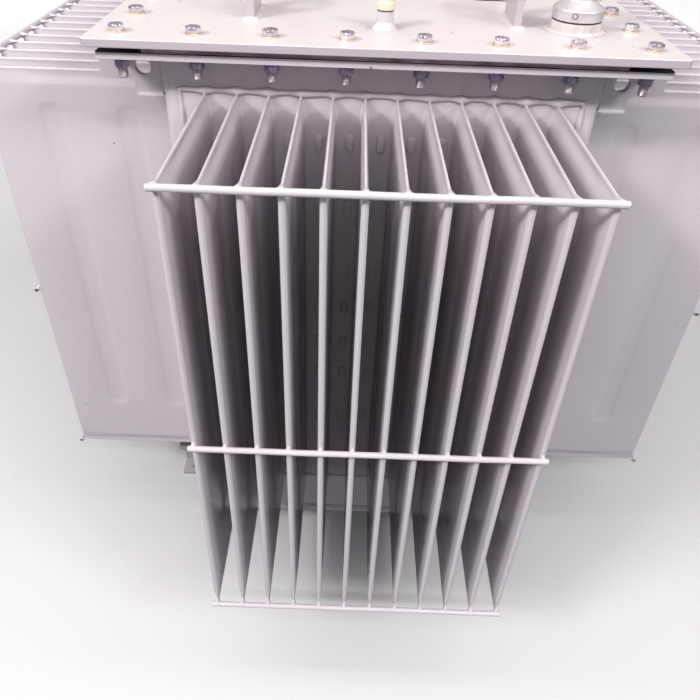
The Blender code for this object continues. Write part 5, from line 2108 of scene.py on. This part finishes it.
@dataclass
class Studio:
    """Pale floor, plain light and the camera at the photograph's place.

    Attributes:
        place: Place of the camera.
        pitch: How far it looks down.
        yaw: How far it looks to the right of +Y.
        roll: How far it leans.
        focal: Focal length as a share of the picture's width.
        shift: Shift of the lens, as shares of the picture's width.
        floor_colour: Colour of the floor as it is seen.
        bounce_colour: Colour with which it lights the object.
        sky: Strength of the surroundings overhead.
        horizon: Their strength at eye level.
        floor_reach: Half the floor's side.
        sensor: Width of the camera's sensor in millimetres.
        lamps: Long ones overhead and above the front, and one at each of the front's sides.
    """

    place: Point = (-0.04052, -1.57704, 1.32738)
    pitch: float = 37.838
    yaw: float = 0.056
    roll: float = 2.147
    focal: float = 676.03 / PICTURE_WIDTH
    shift: tuple[float, float] = (5.76 / PICTURE_WIDTH, -13.83 / PICTURE_WIDTH)
    floor_colour: Colour = (0.64, 0.64, 0.63)
    bounce_colour: Colour = (0.16, 0.16, 0.17)
    sky: float = 0.44
    horizon: float = 0.30
    floor_reach: float = 40.0
    sensor: float = 36.0
    lamps: tuple[Lamp, ...] = (
        Lamp("overhead_strip", (0.0, -0.75, 5.5), (0.0, -0.75, 0.0), (12.0, 0.5), 120.0, (1.0, 0.97, 0.96)),
        Lamp("front_strip", (-1.0, -4.0, 4.5), (-1.0, -0.62, 1.0), (10.0, 0.35), 195.0),
        Lamp("left_lamp", (-3.35, -3.2, 4.0), (0.0, -0.62, 1.0), (1.4, 0.4), 165.0),
        Lamp("right_lamp", (3.35, -3.2, 4.0), (0.0, -0.62, 1.0), (1.4, 0.4), 92.0),
    )

    def floor(self) -> None:
        """Lay a level floor, faintly cloudy, that pales with distance for the camera."""
        size = self.floor_reach
        grid = np.array([[(-size, -size, 0.0), (size, -size, 0.0)], [(-size, size, 0.0), (size, size, 0.0)]])
        shape = lattice(grid)
        mesh = bpy.data.meshes.new("studio_floor")
        mesh.from_pydata(shape.points.tolist(), [], shape.faces[0].tolist())
        item = in_scene("studio_floor", mesh)
        material, graph, shader, vector = new_material("pale_floor")
        clouds = graph.spread(graph.noise(vector, 1.3, 3.0), 0.3, 0.7, 0.0, 1.0)
        darker = tuple(0.97 * value for value in self.floor_colour)
        seen = graph.add("ShaderNodeLightPath").outputs["Is Camera Ray"]
        pale = graph.blend(clouds, self.floor_colour, darker)
        graph.link(graph.blend(seen, self.bounce_colour, pale), shader, "Base Color")
        shader.inputs["Roughness"].default_value = 0.7
        away = graph.add("ShaderNodeVectorMath", {0: vector}, operation="LENGTH").outputs["Value"]
        glow = graph.sums("MULTIPLY", seen, graph.spread(away, 1.3, 5.0, 0.0, 0.62))
        graph.link(graph.blend(glow, (0.0, 0.0, 0.0), (1.0, 1.0, 1.0)), shader, "Emission Color")
        shader.inputs["Emission Strength"].default_value = 1.0
        mesh.materials.append(material)

    def lights(self) -> None:
        """Hang the lamps, and make the surroundings brightest overhead."""
        for lamp in self.lamps:
            lamp.hang()
        world = bpy.data.worlds.new("pale_surround")
        world.use_nodes = True
        graph = Graph(world.node_tree)
        direction = graph.add("ShaderNodeTexCoord").outputs["Generated"]
        level = graph.add("ShaderNodeSeparateXYZ", {"Vector": direction}).outputs["Z"]
        share = graph.spread(level, 0.05, 0.80, 0.0, 1.0)
        seen = graph.add("ShaderNodeLightPath").outputs["Is Camera Ray"]
        tone = graph.blend(share, (0.86, 0.82, 1.0), (1.0, 0.97, 0.96))
        tone = graph.blend(seen, tone, (0.97, 0.97, 0.97))
        strength = graph.spread(level, 0.05, 0.80, self.horizon, self.sky)
        strength = graph.sums("MAXIMUM", strength, graph.sums("MULTIPLY", seen, 0.93))
        sky = graph.add("ShaderNodeBackground", {"Color": tone, "Strength": strength})
        graph.add("ShaderNodeOutputWorld", {"Surface": sky.outputs["Background"]})
        bpy.context.scene.world = world

    def camera(self) -> None:
        """Set the camera: its axes come from yaw, pitch and roll."""
        yaw, pitch, roll = (math.radians(angle) for angle in (self.yaw, self.pitch, self.roll))
        ahead = Vector((math.sin(yaw) * math.cos(pitch), math.cos(yaw) * math.cos(pitch), -math.sin(pitch)))
        level = Vector((math.cos(yaw), -math.sin(yaw), 0.0))
        upright = level.cross(ahead)
        right = math.cos(roll) * level + math.sin(roll) * upright
        up = math.cos(roll) * upright - math.sin(roll) * level
        data = bpy.data.cameras.new("photo_camera")
        data.sensor_width = self.sensor
        data.lens = self.focal * self.sensor
        data.shift_x, data.shift_y = self.shift
        item = in_scene("photo_camera", data)
        axes = Matrix((right, up, -ahead)).transposed().to_4x4()
        item.matrix_world = Matrix.Translation(self.place) @ axes
        bpy.context.scene.camera = item

    def build(self) -> None:
        """Set up the studio."""
        bpy.context.scene.view_settings.view_transform = "Standard"
        self.floor()
        self.lights()
        self.camera()


def main() -> None:
    """Build every sub-assembly in order."""
    logging.basicConfig(level=logging.INFO, format="%(name)s %(message)s")
    Studio().build()
    pocket, filler = foot("thermometer_pocket"), foot("filler_collar")
    shop = Workshop(Paintbox(tuple(map(float, pocket)), tuple(map(float, filler))))
    TankBody(shop).build()
    for wall in Wall:
        FinBank(shop, wall).build()
    CoverBolts(shop).build()
    LiftingLugs(shop).build()
    ThermometerPocket(shop).build()
    OilFiller(shop).build()
    for number in (1, 2, 3):
        Bushing(shop, f"hv_bushing_{number}", **HIGH_VOLTAGE).build()
        StudTerminal(shop, f"hv_terminal_{number}").build()
    for number in (1, 2, 3, 4):
        Bushing(shop, f"lv_bushing_{number}", **LOW_VOLTAGE).build()
        shop.refined(f"lv_terminal_{number}", Slot.TERMINAL, 0.0008)
    TapSwitch(shop).build()
    DrainValve(shop).build()


if __name__ == "__main__":
    main()
